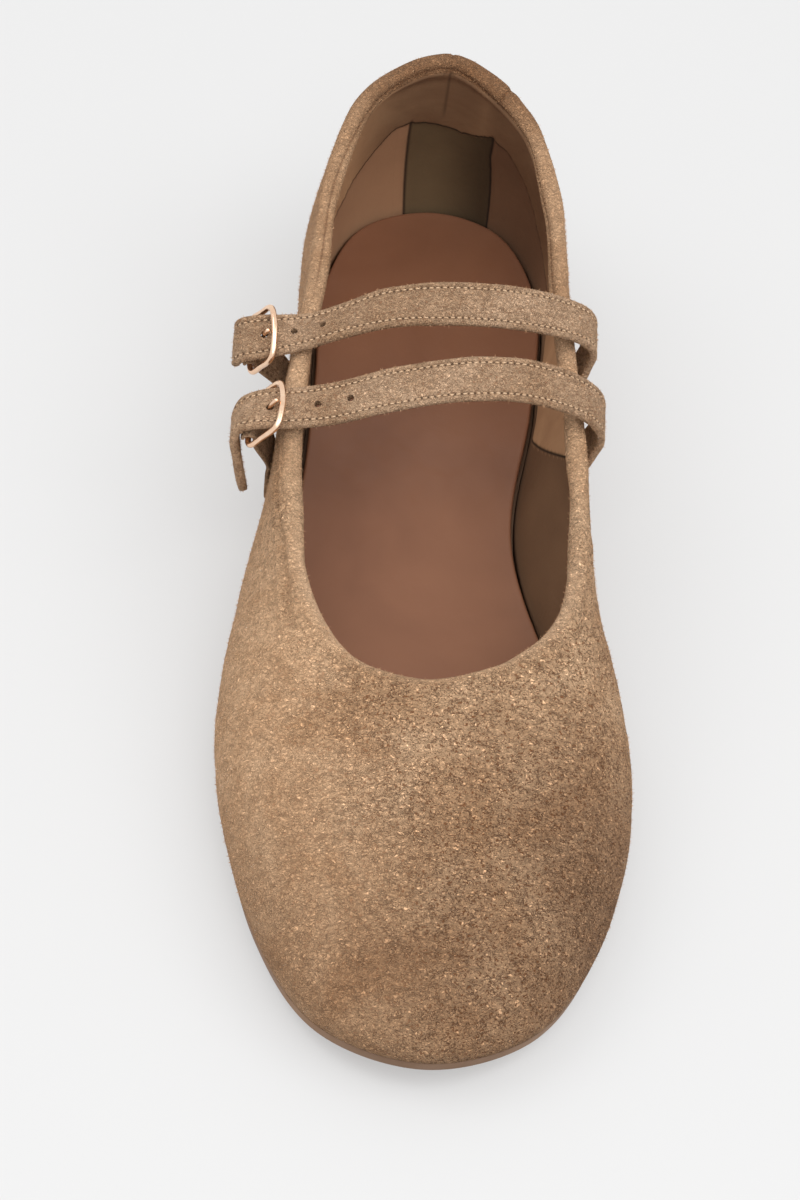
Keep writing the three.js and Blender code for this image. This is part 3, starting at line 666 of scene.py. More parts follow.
def suede(name, gap, dark, light, tuft=1.0, distance=0.0009, calm=0.4, warm=(1, 1, 1)):
    """Suede of one dye: painted shade in the cracks between the tufts, painted highlight on the tuft tips,
    and the
    nap brushed dark and light. calm: how strong the tufts are where the attribute tufted is 0. The last
    argument is the dark tint of a painted shade, multiplied in where the attribute of the same name is 1. A
    painted highlight makes the crown of the roll paler where its attribute is 1."""
    # the paler colour of a painted highlight along the crown of the roll
    rubbed_tone = tuple(min(1, c * 1.1 + 0.06) for c in light)
    made, tree, shader = material(name, roughness=0.92, Sheen_Weight=0.05, Sheen_Roughness=0.4)
    shader.inputs["Specular IOR Level"].default_value = 0.12
    shader.inputs["Sheen Tint"].default_value = (1.0, 0.82, 0.62, 1)
    link = tree.links.new
    nap = node(tree, "ShaderNodeGroup", node_tree=NAP)
    nap.inputs["Tuft size"].default_value = tuft
    tufted = node(tree, "ShaderNodeAttribute", attribute_name="tufted")
    warmth = node(tree, "ShaderNodeAttribute", attribute_name="warm")
    strength = node(tree, "ShaderNodeMapRange", {"To Min": calm, "To Max": 1.0})
    link(tufted.outputs["Fac"], strength.inputs["Value"])
    shades = ramp(tree, [(0.0, dark), (1.0, light)])
    link(nap.outputs["Brushed"], shades.inputs["Fac"])
    # painted highlight on the tops of the tufts, and a little painted shade below them
    tips = node(tree, "ShaderNodeMapRange", {"To Min": 0.94, "To Max": 1.16})
    link(nap.outputs["Tip"], tips.inputs["Value"])
    lit = node(tree, "ShaderNodeVectorMath", operation="SCALE")
    link(shades.outputs["Color"], lit.inputs[0])
    link(tips.outputs["Result"], lit.inputs[3])
    fuzz = blend_colours(tree, strength.outputs["Result"], shades.outputs["Color"], lit.outputs[0])
    # painted shade in the cracks and hollows between the tufts, towards the gap colour
    much = node(tree, "ShaderNodeMath", {1: 0.92}, operation="MULTIPLY")
    cracks = node(tree, "ShaderNodeMath", operation="MULTIPLY")
    link(strength.outputs["Result"], much.inputs[0])
    link(nap.outputs["Crack"], cracks.inputs[0])
    link(much.outputs[0], cracks.inputs[1])
    colour = blend_colours(tree, cracks.outputs[0], fuzz, gap)
    # painted highlight: paler along the crown of the roll
    rubbed = node(tree, "ShaderNodeAttribute", attribute_name="rubbed")
    colour = blend_colours(tree, rubbed.outputs["Fac"], colour, rubbed_tone)
    # painted shade: the colour is multiplied by a dark tint where its attribute is 1
    with_painted_shade = blend_colours(tree, warmth.outputs["Fac"], colour, warm, "MULTIPLY")
    # painted shade in the creases, and dark lines along the seams
    crease = node(tree, "ShaderNodeMath", {1: 0.6}, operation="MULTIPLY")
    link(dark_line(tree, "crease", "crease_shade", 0.6), crease.inputs[0])
    pressed = blend_colours(tree, crease.outputs[0], with_painted_shade, gap)
    link(pressed, shader.inputs["Base Color"])
    height = node(tree, "ShaderNodeMath", operation="MULTIPLY")
    link(nap.outputs["Height"], height.inputs[0])
    link(strength.outputs["Result"], height.inputs[1])
    relief = node(tree, "ShaderNodeBump", {"Strength": 1.0, "Distance": distance})
    link(height.outputs[0], relief.inputs["Height"])
    link(relief.outputs["Normal"], shader.inputs["Normal"])
    return made


def lined_inside():
    """The inside of the wall: brown lining, a darker panel behind the heel, and a suede facing above. Painted
    light makes the walls beside the heel paler; painted shade darkens the inner side near the heel, the
    facing at the back, and the creases.
    """
    made, tree, shader = material("lining and facing", roughness=0.75)
    shader.inputs["Specular IOR Level"].default_value = 0.25
    link = tree.links.new
    grain = node(tree, "ShaderNodeGroup", node_tree=GRAIN)
    nap = node(tree, "ShaderNodeGroup", node_tree=NAP)
    nap.inputs["Tuft size"].default_value = 0.7
    lining = ramp(tree, [(0.0, linear(98, 72, 52)), (1.0, linear(118, 88, 64))])
    panel = ramp(tree, [(0.0, linear(98, 80, 58)), (1.0, linear(118, 98, 72))])
    # painted light: a paler colour for the inner walls beside the heel
    sides = ramp(tree, [(0.0, linear(160, 121, 92)), (1.0, linear(180, 139, 106))])
    facing = ramp(tree, [(0.0, linear(172, 132, 98)), (1.0, linear(194, 154, 116))])
    for colours in (lining, panel, sides):
        link(grain.outputs["Shade"], colours.inputs["Fac"])
    link(nap.outputs["Brushed"], facing.inputs["Fac"])
    colour = lining.outputs["Color"]
    for name, over in (("heel_sides", sides), ("panel", panel), ("facing", facing)):
        there = node(tree, "ShaderNodeAttribute", attribute_name=name)
        colour = blend_colours(tree, there.outputs["Fac"], colour, over.outputs["Color"])
    shaded = node(tree, "ShaderNodeAttribute", attribute_name="shaded")
    colour = blend_colours(tree, shaded.outputs["Fac"], colour, (0.42, 0.4, 0.4), "MULTIPLY")
    colour = blend_colours(tree, dark_line(tree, "facing_edge", "inside", 0.8), colour, linear(46, 34, 24))
    # painted shade in the creases, and dark lines along the seams
    colour = blend_colours(tree, dark_line(tree, "crease", "crease_shade", 0.7), colour, linear(40, 29, 21))
    link(colour, shader.inputs["Base Color"])
    relief = node(tree, "ShaderNodeBump", {"Strength": 0.5, "Distance": 0.0002})
    link(grain.outputs["Height"], relief.inputs["Height"])
    link(relief.outputs["Normal"], shader.inputs["Normal"])
    return made


def paint(piece, **layers):
    """Stores values on a piece's points for its materials to read."""
    for name, values in layers.items():
        layer = piece.data.attributes.new(name, "FLOAT", "POINT")
        layer.data.foreach_set("value", np.ascontiguousarray(values, dtype=np.float32).ravel())


FIBRE_LENGTH = 0.6
FIBRE_RADIUS = 0.05
# fibres to a square millimetre
UPPER_FIBRES, STRAP_FIBRES = 0.9, 1.2


def loose_fibres_tree():
    """Geometry Nodes: short stiff hairs strewn over a surface, each leaning its own way off it."""
    tree = bpy.data.node_groups.new("loose fibres", "GeometryNodeTree")
    sockets = (("Geometry", "Geometry"), ("Density", "Float"), ("Length", "Float"), ("Radius", "Float"))
    for name, kind in (*sockets, ("Fibre", "Material")):
        tree.interface.new_socket(name, in_out="INPUT", socket_type="NodeSocket" + kind)
    tree.interface.new_socket("Geometry", in_out="OUTPUT", socket_type="NodeSocketGeometry")
    ins, outs = node(tree, "NodeGroupInput"), node(tree, "NodeGroupOutput")
    link = tree.links.new
    strewn = node(tree, "GeometryNodeDistributePointsOnFaces", {"Seed": 7})
    plain_cone = {"Vertices": 3, "Side Segments": 1, "Fill Segments": 1, "Radius Top": 0.0}
    hair = node(tree, "GeometryNodeMeshCone", plain_cone)
    lean = node(tree, "FunctionNodeRandomValue", data_type="FLOAT_VECTOR")
    lean.inputs[0].default_value, lean.inputs[1].default_value = (-1.1, -1.1, -3.1), (1.1, 1.1, 3.1)
    lean.inputs["Seed"].default_value = 11
    as_turn = node(tree, "FunctionNodeEulerToRotation")
    leaning = node(tree, "FunctionNodeRotateRotation", rotation_space="LOCAL")
    longer = node(tree, "FunctionNodeRandomValue", data_type="FLOAT")
    longer.inputs[2].default_value, longer.inputs[3].default_value = 0.45, 1.25
    longer.inputs["Seed"].default_value = 13
    laid = node(tree, "GeometryNodeInstanceOnPoints")
    real = node(tree, "GeometryNodeRealizeInstances")
    finish = node(tree, "GeometryNodeSetMaterial")
    link(ins.outputs["Geometry"], strewn.inputs["Mesh"])
    link(ins.outputs["Density"], strewn.inputs["Density"])
    link(ins.outputs["Length"], hair.inputs["Depth"])
    link(ins.outputs["Radius"], hair.inputs["Radius Bottom"])
    link(strewn.outputs["Points"], laid.inputs["Points"])
    link(hair.outputs["Mesh"], laid.inputs["Instance"])
    link(lean.outputs[0], as_turn.inputs[0])
    link(strewn.outputs["Rotation"], leaning.inputs[0])
    link(as_turn.outputs[0], leaning.inputs[1])
    link(leaning.outputs[0], laid.inputs["Rotation"])
    link(longer.outputs[1], laid.inputs["Scale"])
    link(laid.outputs["Instances"], real.inputs["Geometry"])
    link(real.outputs["Geometry"], finish.inputs["Geometry"])
    link(ins.outputs["Fibre"], finish.inputs["Material"])
    link(finish.outputs["Geometry"], outs.inputs[0])
    return tree


def set_inputs(modifier, **values):
    """Sets a node modifier's inputs, found by name, through their identifiers."""
    for item in modifier.node_group.interface.items_tree:
        if item.item_type == "SOCKET" and item.in_out == "INPUT" and item.name in values:
            modifier[item.identifier] = values[item.name]


def made_plain(piece):
    """Turns what a piece's modifiers make into its plain mesh."""
    seen = piece.evaluated_get(bpy.context.evaluated_depsgraph_get())
    mesh = bpy.data.meshes.new_from_object(seen)
    piece.modifiers.clear()
    piece.data = mesh
    return piece


def fibre_suede():
    """Single hairs of the nap, paler at random."""
    made, tree, shader = material("nap fibres", roughness=0.9)
    shader.inputs["Specular IOR Level"].default_value = 0.15
    place = node(tree, "ShaderNodeTexCoord")
    strands = node(tree, "ShaderNodeTexNoise", {"Scale": 900.0, "Detail": 1.0})
    tint = ramp(tree, [(0.35, linear(158, 118, 83)), (0.65, linear(212, 172, 134))])
    tree.links.new(place.outputs["Object"], strands.inputs["Vector"])
    tree.links.new(strands.outputs["Fac"], tint.inputs["Fac"])
    tree.links.new(tint.outputs["Color"], shader.inputs["Base Color"])
    return made


LOOSE_FIBRES = loose_fibres_tree()
FIBRE_SUEDE = fibre_suede()


def fuzz_on(name, carrier, density):
    """Loose fibres over a carrier piece, which they replace. density: fibres to a square millimetre."""
    carrier.name = name
    strewing = carrier.modifiers.new("fibres", "NODES")
    strewing.node_group = LOOSE_FIBRES
    set_inputs(
        strewing,
        Density=density * 1e6,
        Length=FIBRE_LENGTH / 1000,
        Radius=FIBRE_RADIUS / 1000,
        Fibre=FIBRE_SUEDE,
    )
    made_plain(carrier)
    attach(carrier, "root")


# the dark colour of painted shade in the suede's cracks, hollows and creases
SUEDE_GAP = linear(96, 56, 28)
# the dark tint of the painted shade on the suede: towards the toe, on the inner side and round the heel
SUEDE_PAINTED_SHADE = (0.38, 0.32, 0.28)
SUEDE = suede("tan suede", SUEDE_GAP, linear(212, 166, 125), linear(239, 196, 155), warm=SUEDE_PAINTED_SHADE)

points = upper_sections()
back, across = upper_places(points)
crease, crease_depth, crease_width, crease_shade = upper_creases(back, across)
facing_edge = np.clip(read_off(FACING_EDGE, back) - across, -9, 9)
facing_there = 1 - soft_step(np.abs(back), *FACING_END)
facing = soft_step(facing_edge, -0.15, 0.15) * facing_there

# the surface: creases pressed in, the leather beside them pushed up, hand-like unevenness, the facing laid on
normals = np.cross(np.roll(points, -1, 1) - np.roll(points, 1, 1), np.gradient(points, axis=0))
normals = unit(normals + 1e-12)
if (normals[20] * outward(np.arange(COLUMNS) / COLUMNS)).sum() < 0:
    normals = -normals
trough = -0.42 * crease_depth * np.exp(-((crease / (0.75 * crease_width)) ** 2))
shoulder = 0.16 * crease_depth * crease_width * np.exp(-(((np.abs(crease) - 2.2) / 1.1) ** 2))
inside = soft_step(across, 3.4, 6)
from_edge = soft_step(np.arange(len(points)), 0, 8)
at_feather = np.minimum(from_edge, from_edge[::-1])[:, None]
uneven = 0.2 * soft_noise(points, 24, 3) + 0.07 * soft_noise(points, 7, 5)
rise = trough + shoulder + uneven * (1 - 0.5 * inside) + 0.3 * facing * inside
points = points + normals * (rise * at_feather)[..., None]

faces = grid_faces(len(points), COLUMNS, rows_round=True, columns_round=True)
upper = mesh_of("suede_upper", points.reshape(-1, 3), faces)
x, y = points[..., 0], points[..., 1]
on_vamp = soft_step(-y, 58, 112)
# painted shade: darker on the inner side towards the front, at the toe, and round the back of the heel
right_painted_shade = soft_step(x + 4 * soft_noise(points, 26, 21), -4, 42) * soft_step(-y, 128, 190)
toe_painted_shade = soft_step(-y + 6 * soft_noise(points, 22, 22), 150, 212)
heel_painted_shade = (1 - 0.55 * soft_step(np.abs(back), 10, 40)) * (1 - soft_step(np.abs(back), 75, 115))
heel_painted_shade = heel_painted_shade * (1 - soft_step(across, 12, 20))
right_shade = soft_step(back, -3, 16) * (1 - soft_step(back, 34, 70))
back_shade = 0.95 * (1 - soft_step(np.abs(back + 2), 8, 26)) * facing
# painted highlight along the crown of the roll, strongest at the throat of the vamp and weaker round the heel
rim = (0.2 + 0.4 * soft_step(np.abs(back), 140, 165)) * np.exp(-((across / 2.4) ** 2))
panel_left = soft_step(back, PANEL_LEFT - 0.4, PANEL_LEFT + 0.4)
panel_right = soft_step(back - PANEL_LEAN * np.maximum(across - 33, 0), PANEL_RIGHT - 0.4, PANEL_RIGHT + 0.4)
left_calm = 0.35 + 0.65 * soft_step(x + 0.25 * (y + 120) + 5 * soft_noise(points, 30, 9), -40, -12)
paint(
    upper,
    crease=np.clip(crease, -9, 9),
    crease_shade=crease_shade,
    tufted=on_vamp * left_calm,
    warm=np.maximum(np.maximum(0.85 * right_painted_shade, 0.52 * toe_painted_shade), heel_painted_shade),
    rubbed=rim * (1 - heel_painted_shade),
    facing_edge=facing_edge,
    facing=np.maximum(facing, 1 - inside),
    inside=inside * facing_there,
    # painted light on the inner walls beside the heel
    heel_sides=1 - soft_step(np.abs(back), 40, 75),
    shaded=np.maximum(right_shade, back_shade),
    panel=panel_left * (1 - panel_right),
)
dress(upper, "suede", SUEDE, lined_inside())
lining_from = WALL_ROWS + ROLL_ROWS + 3
face_rows = np.arange(len(upper.data.polygons)) // COLUMNS
upper.data.polygons.foreach_set("material_index", (face_rows >= lining_from).astype(int))
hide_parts("upper")

# the fibres stand on the outer face and the roll, from a little above the sole
outside = points[3 : WALL_ROWS + ROLL_ROWS + 2]
faces = grid_faces(len(outside), COLUMNS, columns_round=True)
carrier = mesh_of("carrier", outside.reshape(-1, 3), faces)
fuzz_on("upper_fuzz", carrier, UPPER_FIBRES)

# Straps
# Two narrow straps of the same suede on a thin backing, with turned edges and a row of light stitches along
# each. They are sewn to the inner quarter, pass under the far bar and over the pivot bar, and end free.
STRAP_WIDTH = 10.0
STRAP_THICKNESS = 1.8
STRAP_ARCH = 13.0
LAP = (0.3, 0.6)
LAP_ROWS = 5
STITCH_PITCH = 1.45
STITCH_LINE = 3.5
STITCH_LENGTH = 0.98
STITCH_THICKNESS = 0.36
SEWN_END = 1.5
FREE_END = STRAP_WIDTH * 0.6
HOLE_RADIUS = 0.75

# Path rows of each strap beyond its lap: across, rise, lean, dip, turn. Holes are distances along the strap.
STRAPS = {
    "rear": {
        "medial": 0.3,
        "lateral": 0.322,
        "pivot_row": 12.75,
        "holes": [92.8, 99.5],
        "rows": [
            (-0.06, -0.5, 0, 5, 0),
            (-0.075, -0.12, 0.03, 8, 0),
            (-0.045, 0.26, 0.1, 12, 0),
            (0.06, 0.62, 0.2, 18, 0),
            (0.24, 0.95, 0.32, 24, 0),
            (0.46, 1.05, 0.34, 24, 0),
            (0.68, 0.92, 0.32, 16, 0),
            (0.85, 0.55, 0.3, 1, 0),
            (0.96, 0.31, 0.29, 4, 0),
            (1.06, 0.19, 0.27, 17, 0),
            (1.13, 0.11, 0.24, 32, 0),
            (1.185, -0.02, 0.18, 34, 0),
            (1.206, -0.2, 0.09, 34, 0),
            (1.206, -0.4, -0.02, 32, 0),
            (1.2, -0.6, -0.15, 30, 0),
        ],
    },
    "front": {
        "medial": 0.393,
        "lateral": 0.409,
        "pivot_row": 12,
        "holes": [90.0, 97.4],
        "rows": [
            (-0.045, -0.62, 0, 5, 0),
            (-0.065, -0.25, 0.02, 10, 0),
            (-0.045, 0.16, 0.06, 14, 0),
            (0.04, 0.64, 0.16, 18, 0),
            (0.22, 1.06, 0.26, 24, 0),
            (0.43, 1.1, 0.31, 24, 0),
            (0.65, 0.85, 0.34, 22, 0),
            (0.84, 0.5, 0.36, 18, 0),
            (0.96, 0.37, 0.36, 15, 0),
            (1.045, 0.3, 0.33, 12, 3),
            (1.1, 0.22, 0.3, 8, 5),
            (1.137, 0.1, 0.27, 5, 5),
            (1.155, -0.07, 0.26, 4, 4),
            (1.16, -0.3, 0.27, 4, 0),
            (1.152, -0.62, 0.3, 4, -6),
            (1.138, -1.05, 0.34, 4, -12),
            (1.12, -1.55, 0.4, 4, -16),
        ],
    },
}


def topline_at(side, share):
    """Where the topline lies at a share of the length on one side: its place round the shoe."""
    t = np.arange(720) / 720
    p = topline_ring(t)
    miss = np.abs(HEEL_SEAT - p[:, 1] - share * SOLE_LENGTH) + np.where(np.sign(p[:, 0]) == side, 0, 1e3)
    return t[miss.argmin()]


def lap_rows(t, thickness):
    rows = []
    for i in range(LAP_ROWS):
        v = np.array([LAP[0] + (LAP[1] - LAP[0]) * i / (LAP_ROWS - 1)])
        at = np.array([t])
        middle = wall_face(at, v) + wall_normal(at, v) * (thickness / 2 + CLEARANCE)
        wide = unit(wall_face(at + 2e-3, v) - wall_face(at - 2e-3, v))[0]
        rows.append((middle[0], -wide if wide[1] > 0 else wide))
    return rows


def strap_rows(strap):
    medial = topline_at(1, strap["medial"])
    start = topline_ring(np.array([medial]))[0]
    end = topline_ring(np.array([topline_at(-1, strap["lateral"])]))[0]
    rows = lap_rows(medial, STRAP_THICKNESS)
    for across, rise, lean, dip, turn in strap["rows"]:
        middle = start + (end - start) * across + np.array([0, -lean, rise]) * STRAP_ARCH
        d, a = math.radians(dip), math.radians(turn)
        wide = np.array([-math.sin(a) * math.cos(d), -math.cos(a) * math.cos(d), -math.sin(d)])
        rows.append((middle, wide))
    return rows


class BandPath:
    """A band's middle line with its direction, width and face directions."""

    def __init__(self, rows):
        self.rows = len(rows)
        self.line = spline([r[0] for r in rows], False)
        self.wides = spline([r[1] for r in rows], False, even=True)

    def at(self, share):
        share = np.atleast_1d(share)
        p = self.line(share)
        forward = unit(self.line(np.minimum(share + 1e-4, 1)) - self.line(np.maximum(share - 1e-4, 0)))
        wide = self.wides(share)
        wide = unit(wide - forward * (wide * forward).sum(1, keepdims=True))
        return p, forward, wide, np.cross(forward, wide)

    def shares(self, step):
        """Shares that lie evenly along the line, and the distances there."""
        fine = np.linspace(0, 1, 2400)
        gone = np.concatenate([[0], np.cumsum(np.linalg.norm(np.diff(self.line(fine), axis=0), axis=1))])
        count = int(round(gone[-1] / step))
        distance = np.linspace(0, gone[-1], count + 1)
        return np.interp(distance, gone, fine), distance


def end_width(distance, rounding):
    s = np.clip(1 - distance / rounding, 0, 1)
    return np.maximum(0.25, np.sqrt(np.maximum(0, 1 - s * s)))


def band_mesh(name, path, width, thickness, start_round, end_round, profile, step=0.5):
    """A closed band. profile: points round its section, as shares of half the width and half the thickness.
    Its points carry run, the distance along it, and stitch_row, the distance from the nearer stitches."""
    share, distance = path.shares(step)
    p, forward, wide, face = path.at(share)
    narrow = np.minimum(end_width(distance, start_round), end_width(distance[-1] - distance, end_round))
    wobble = 0.07 * soft_noise(p, 9, 12)
    loop, stitch_row = [], []
    for w, h in profile:
        reach = w * width / 2 * narrow
        lift = h * thickness / 2 + wobble
        loop.append(p + wide * (reach + wobble * np.sign(w))[:, None] + face * lift[:, None])
        stitch_row.append(np.abs(reach) - STITCH_LINE * narrow if h * path.out >= 0 else 9 + 0 * reach)
    loop = np.array(loop).transpose(1, 0, 2)
    n, m = loop.shape[:2]
    faces = grid_faces(n, m, columns_round=True)
    faces.append(list(range(m)))
    faces.append([(n - 1) * m + j for j in range(m)])
    band = mesh_of(name, loop.reshape(-1, 3), faces)
    paint(band, run=np.repeat(distance, m), stitch_row=np.array(stitch_row).T)
    return band


# section of a strap: turned round edges, a shallow trough under each row of stitches
STRAP_SECTION = [
    (1.0, 0.0), (0.99, 0.42), (0.955, 0.78), (0.9, 1.0), (0.84, 1.06), (0.78, 0.98), (0.72, 0.8),
    (0.66, 0.86), (0.58, 0.98), (0.4, 1.02), (0.2, 1.04), (0.0, 1.05), (-0.2, 1.04), (-0.4, 1.02),
    (-0.58, 0.98), (-0.66, 0.86), (-0.72, 0.8), (-0.78, 0.98), (-0.84, 1.06), (-0.9, 1.0), (-0.955, 0.78),
    (-0.99, 0.42), (-1.0, 0.0), (-0.985, -0.45), (-0.94, -0.8), (-0.85, -0.95), (-0.5, -1.0), (0.0, -1.0),
    (0.5, -1.0), (0.85, -0.95), (0.94, -0.8), (0.985, -0.45),
]


def strap_suede():
    """The upper's suede with a finer nap, with painted shade along the stitches and in the holes where the
    needle went in.
    """
    dark, light = linear(188, 151, 118), linear(216, 180, 147)
    made = suede("strap suede", SUEDE_GAP, dark, light, tuft=0.75, distance=0.0005, calm=0.75)
    tree = made.node_tree
    shader = tree.nodes["Principled BSDF"]
    link = tree.links.new
    run = node(tree, "ShaderNodeAttribute", attribute_name="run")
    row = node(tree, "ShaderNodeAttribute", attribute_name="stitch_row")
    turns = node(tree, "ShaderNodeMath", {1: 1 / STITCH_PITCH}, operation="MULTIPLY")
    within = node(tree, "ShaderNodeMath", operation="FRACT")
    off = node(tree, "ShaderNodeMath", {1: 0.5}, operation="SUBTRACT")
    along = node(tree, "ShaderNodeMath", {1: STITCH_PITCH}, operation="MULTIPLY")
    reach = node(tree, "ShaderNodeCombineXYZ")
    length = node(tree, "ShaderNodeVectorMath", operation="LENGTH")
    pit = node(tree, "ShaderNodeMapRange", {"From Min": 0.14, "From Max": 0.4, "To Min": 0.75, "To Max": 0.0})
    side = node(tree, "ShaderNodeMath", operation="ABSOLUTE")
    groove = node(tree, "ShaderNodeMapRange", {"From Max": 0.6, "To Min": 0.22, "To Max": 0.0})
    most = node(tree, "ShaderNodeMath", operation="MAXIMUM")
    link(run.outputs["Fac"], turns.inputs[0])
    link(turns.outputs[0], within.inputs[0])
    link(within.outputs[0], off.inputs[0])
    link(off.outputs[0], along.inputs[0])
    link(along.outputs[0], reach.inputs[0])
    link(row.outputs["Fac"], reach.inputs[1])
    link(reach.outputs[0], length.inputs[0])
    link(length.outputs["Value"], pit.inputs["Value"])
    link(row.outputs["Fac"], side.inputs[0])
    link(side.outputs[0], groove.inputs["Value"])
    link(pit.outputs["Result"], most.inputs[0])
    link(groove.outputs["Result"], most.inputs[1])
    # painted shade: darker in the needle holes and in the shallow groove under each stitch row
    before = shader.inputs["Base Color"].links[0].from_socket
    link(blend_colours(tree, most.outputs[0], before, linear(62, 42, 27)), shader.inputs["Base Color"])
    return made


def stitch_rows_tree():
    """Geometry Nodes: a rounded thread laid at each point of a row, along the row."""
    tree = bpy.data.node_groups.new("stitch rows", "GeometryNodeTree")
    sockets = (("Geometry", "Geometry"), ("Length", "Float"), ("Thickness", "Float"))
    for name, kind in (*sockets, ("Thread", "Material")):
        tree.interface.new_socket(name, in_out="INPUT", socket_type="NodeSocket" + kind)
    tree.interface.new_socket("Geometry", in_out="OUTPUT", socket_type="NodeSocketGeometry")
    ins, outs = node(tree, "NodeGroupInput"), node(tree, "NodeGroupOutput")
    link = tree.links.new
    rows = node(tree, "GeometryNodeMeshToCurve")
    places = node(tree, "GeometryNodeCurveToPoints", mode="EVALUATED")
    bead = node(tree, "GeometryNodeMeshUVSphere", {"Segments": 8, "Rings": 6, "Radius": 0.5})
    size = node(tree, "ShaderNodeCombineXYZ")
    shaped = node(tree, "GeometryNodeTransform")
    laid = node(tree, "GeometryNodeInstanceOnPoints")
    real = node(tree, "GeometryNodeRealizeInstances")
    finish = node(tree, "GeometryNodeSetMaterial")
    link(ins.outputs["Geometry"], rows.inputs[0])
    link(rows.outputs[0], places.inputs["Curve"])
    link(ins.outputs["Thickness"], size.inputs[0])
    link(ins.outputs["Thickness"], size.inputs[1])
    link(ins.outputs["Length"], size.inputs[2])
    link(bead.outputs["Mesh"], shaped.inputs["Geometry"])
    link(size.outputs[0], shaped.inputs["Scale"])
    link(places.outputs["Points"], laid.inputs["Points"])
    link(places.outputs["Rotation"], laid.inputs["Rotation"])
    link(shaped.outputs["Geometry"], laid.inputs["Instance"])
    link(laid.outputs["Instances"], real.inputs["Geometry"])
    link(real.outputs["Geometry"], finish.inputs["Geometry"])
    link(ins.outputs["Thread"], finish.inputs["Material"])
    link(finish.outputs["Geometry"], outs.inputs[0])
    return tree


STITCH_ROWS = stitch_rows_tree()


def thread():
    """Waxed thread, light beige, with the twist of its plies."""
    made, tree, shader = material("beige thread", roughness=0.6)
    place = node(tree, "ShaderNodeTexCoord")
    twist = node(tree, "ShaderNodeTexNoise", {"Scale": 2600.0, "Detail": 1.0})
    tint = ramp(tree, [(0.35, linear(178, 144, 110)), (0.65, linear(206, 176, 144))])
    relief = node(tree, "ShaderNodeBump", {"Strength": 0.6, "Distance": 0.0001})
    tree.links.new(place.outputs["Object"], twist.inputs["Vector"])
    tree.links.new(twist.outputs["Fac"], tint.inputs["Fac"])
    tree.links.new(tint.outputs["Color"], shader.inputs["Base Color"])
    tree.links.new(twist.outputs["Fac"], relief.inputs["Height"])
    tree.links.new(relief.outputs["Normal"], shader.inputs["Normal"])
    return made


def cylinder_through(name, place, axis, radius, length):
    """A short cylinder for punching a hole."""
    bm = bmesh.new()
    turn = Vector(axis).to_track_quat("Z", "Y").to_matrix().to_4x4()
    matrix = Matrix.Translation(Vector(place) / 1000) @ turn
    width = radius / 1000
    bmesh.ops.create_cone(
        bm, cap_ends=True, segments=20, radius1=width, radius2=width, depth=length / 1000, matrix=matrix
    )
    mesh = bpy.data.meshes.new(name)
    bm.to_mesh(mesh)
    bm.free()
    cutter = bpy.data.objects.new(name, mesh)
    bpy.context.scene.collection.objects.link(cutter)
    return cutter


def cut_away(piece, cutter):
    """Takes the cutter's room out of the piece and removes the cutter."""
    modifier = piece.modifiers.new("cut", "BOOLEAN")
    modifier.operation = "DIFFERENCE"
    modifier.solver = "EXACT"
    modifier.object = cutter
    made_plain(piece)
    bpy.data.objects.remove(cutter)


def stitch_places(path):
    """Both rows of a strap, as points one pitch apart on its face, that stop short of both ends."""
    fine = np.linspace(0, 1, 2400)
    gone = np.concatenate([[0], np.cumsum(np.linalg.norm(np.diff(path.line(fine), axis=0), axis=1))])
    distance = np.arange(1, int((gone[-1] - 3.0) / STITCH_PITCH)) * STITCH_PITCH
    p, forward, wide, face = path.at(np.interp(distance, gone, fine))
    narrow = np.minimum(end_width(distance, SEWN_END), end_width(gone[-1] - distance, FREE_END))
    lift = face * path.out * (STRAP_THICKNESS / 2 * 0.86)
    return [p + wide * (side * STITCH_LINE * narrow)[:, None] + lift for side in (1, -1)]


STRAP_SUEDE = strap_suede()
THREAD = thread()
STRAP_PATHS = {}
STRAP_PIECES = {}
for name, row in STRAPS.items():
    path = BandPath(strap_rows(row))
    path.out = np.sign(path.at(0.5)[3][0] @ UP)
    profile = [(w, h * path.out) for w, h in STRAP_SECTION]
    sizes = (STRAP_WIDTH, STRAP_THICKNESS, SEWN_END, FREE_END)
    strap = band_mesh("strap_suede_" + name, path, *sizes, profile)
    fine, gone = path.shares(0.1)
    for number, distance in enumerate(row["holes"]):
        p, forward, wide, face = path.at(np.interp(distance, gone, fine))
        cut_away(strap, cylinder_through(f"punch_{number}", p[0], face[0], HOLE_RADIUS, 5))
    STRAP_PATHS[name] = path
    STRAP_PIECES[name] = strap
    rows = stitch_places(path)
    mesh = bpy.data.meshes.new("rows")
    count = len(rows[0])
    edges = [(k * count + i, k * count + i + 1) for k in (0, 1) for i in range(count - 1)]
    mesh.from_pydata([tuple(q / 1000) for half in rows for q in half], edges, [])
    stitches = bpy.data.objects.new("strap_stitches_" + name, mesh)
    bpy.context.scene.collection.objects.link(stitches)
    sewing = stitches.modifiers.new("sewing", "NODES")
    sewing.node_group = STITCH_ROWS
    set_inputs(sewing, Length=STITCH_LENGTH / 1000, Thickness=STITCH_THICKNESS / 1000, Thread=THREAD)
    made_plain(stitches)
    stitches.data.shade_smooth()
    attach(stitches, "root")

# Buckles
# A bent wire frame with rounded corners, plated pale rose gold, whose far bar is slightly pointed in the
# middle. The tab holds its pivot bar under the strap, and the frame slopes down to the outer side.
TAB_WIDTH = 9.0
TAB_THICKNESS = 0.8
FRAME_WIRE = 1.2
FRAME_LENGTH = 10.2
FRAME_PEAK = 0.9
FRAME_MARGIN = 0.7
FRAME_CORNER = 1.2
FRAME_NIP = 0.1
PRONG_WIRE = 1.0
PLATE = 0.08


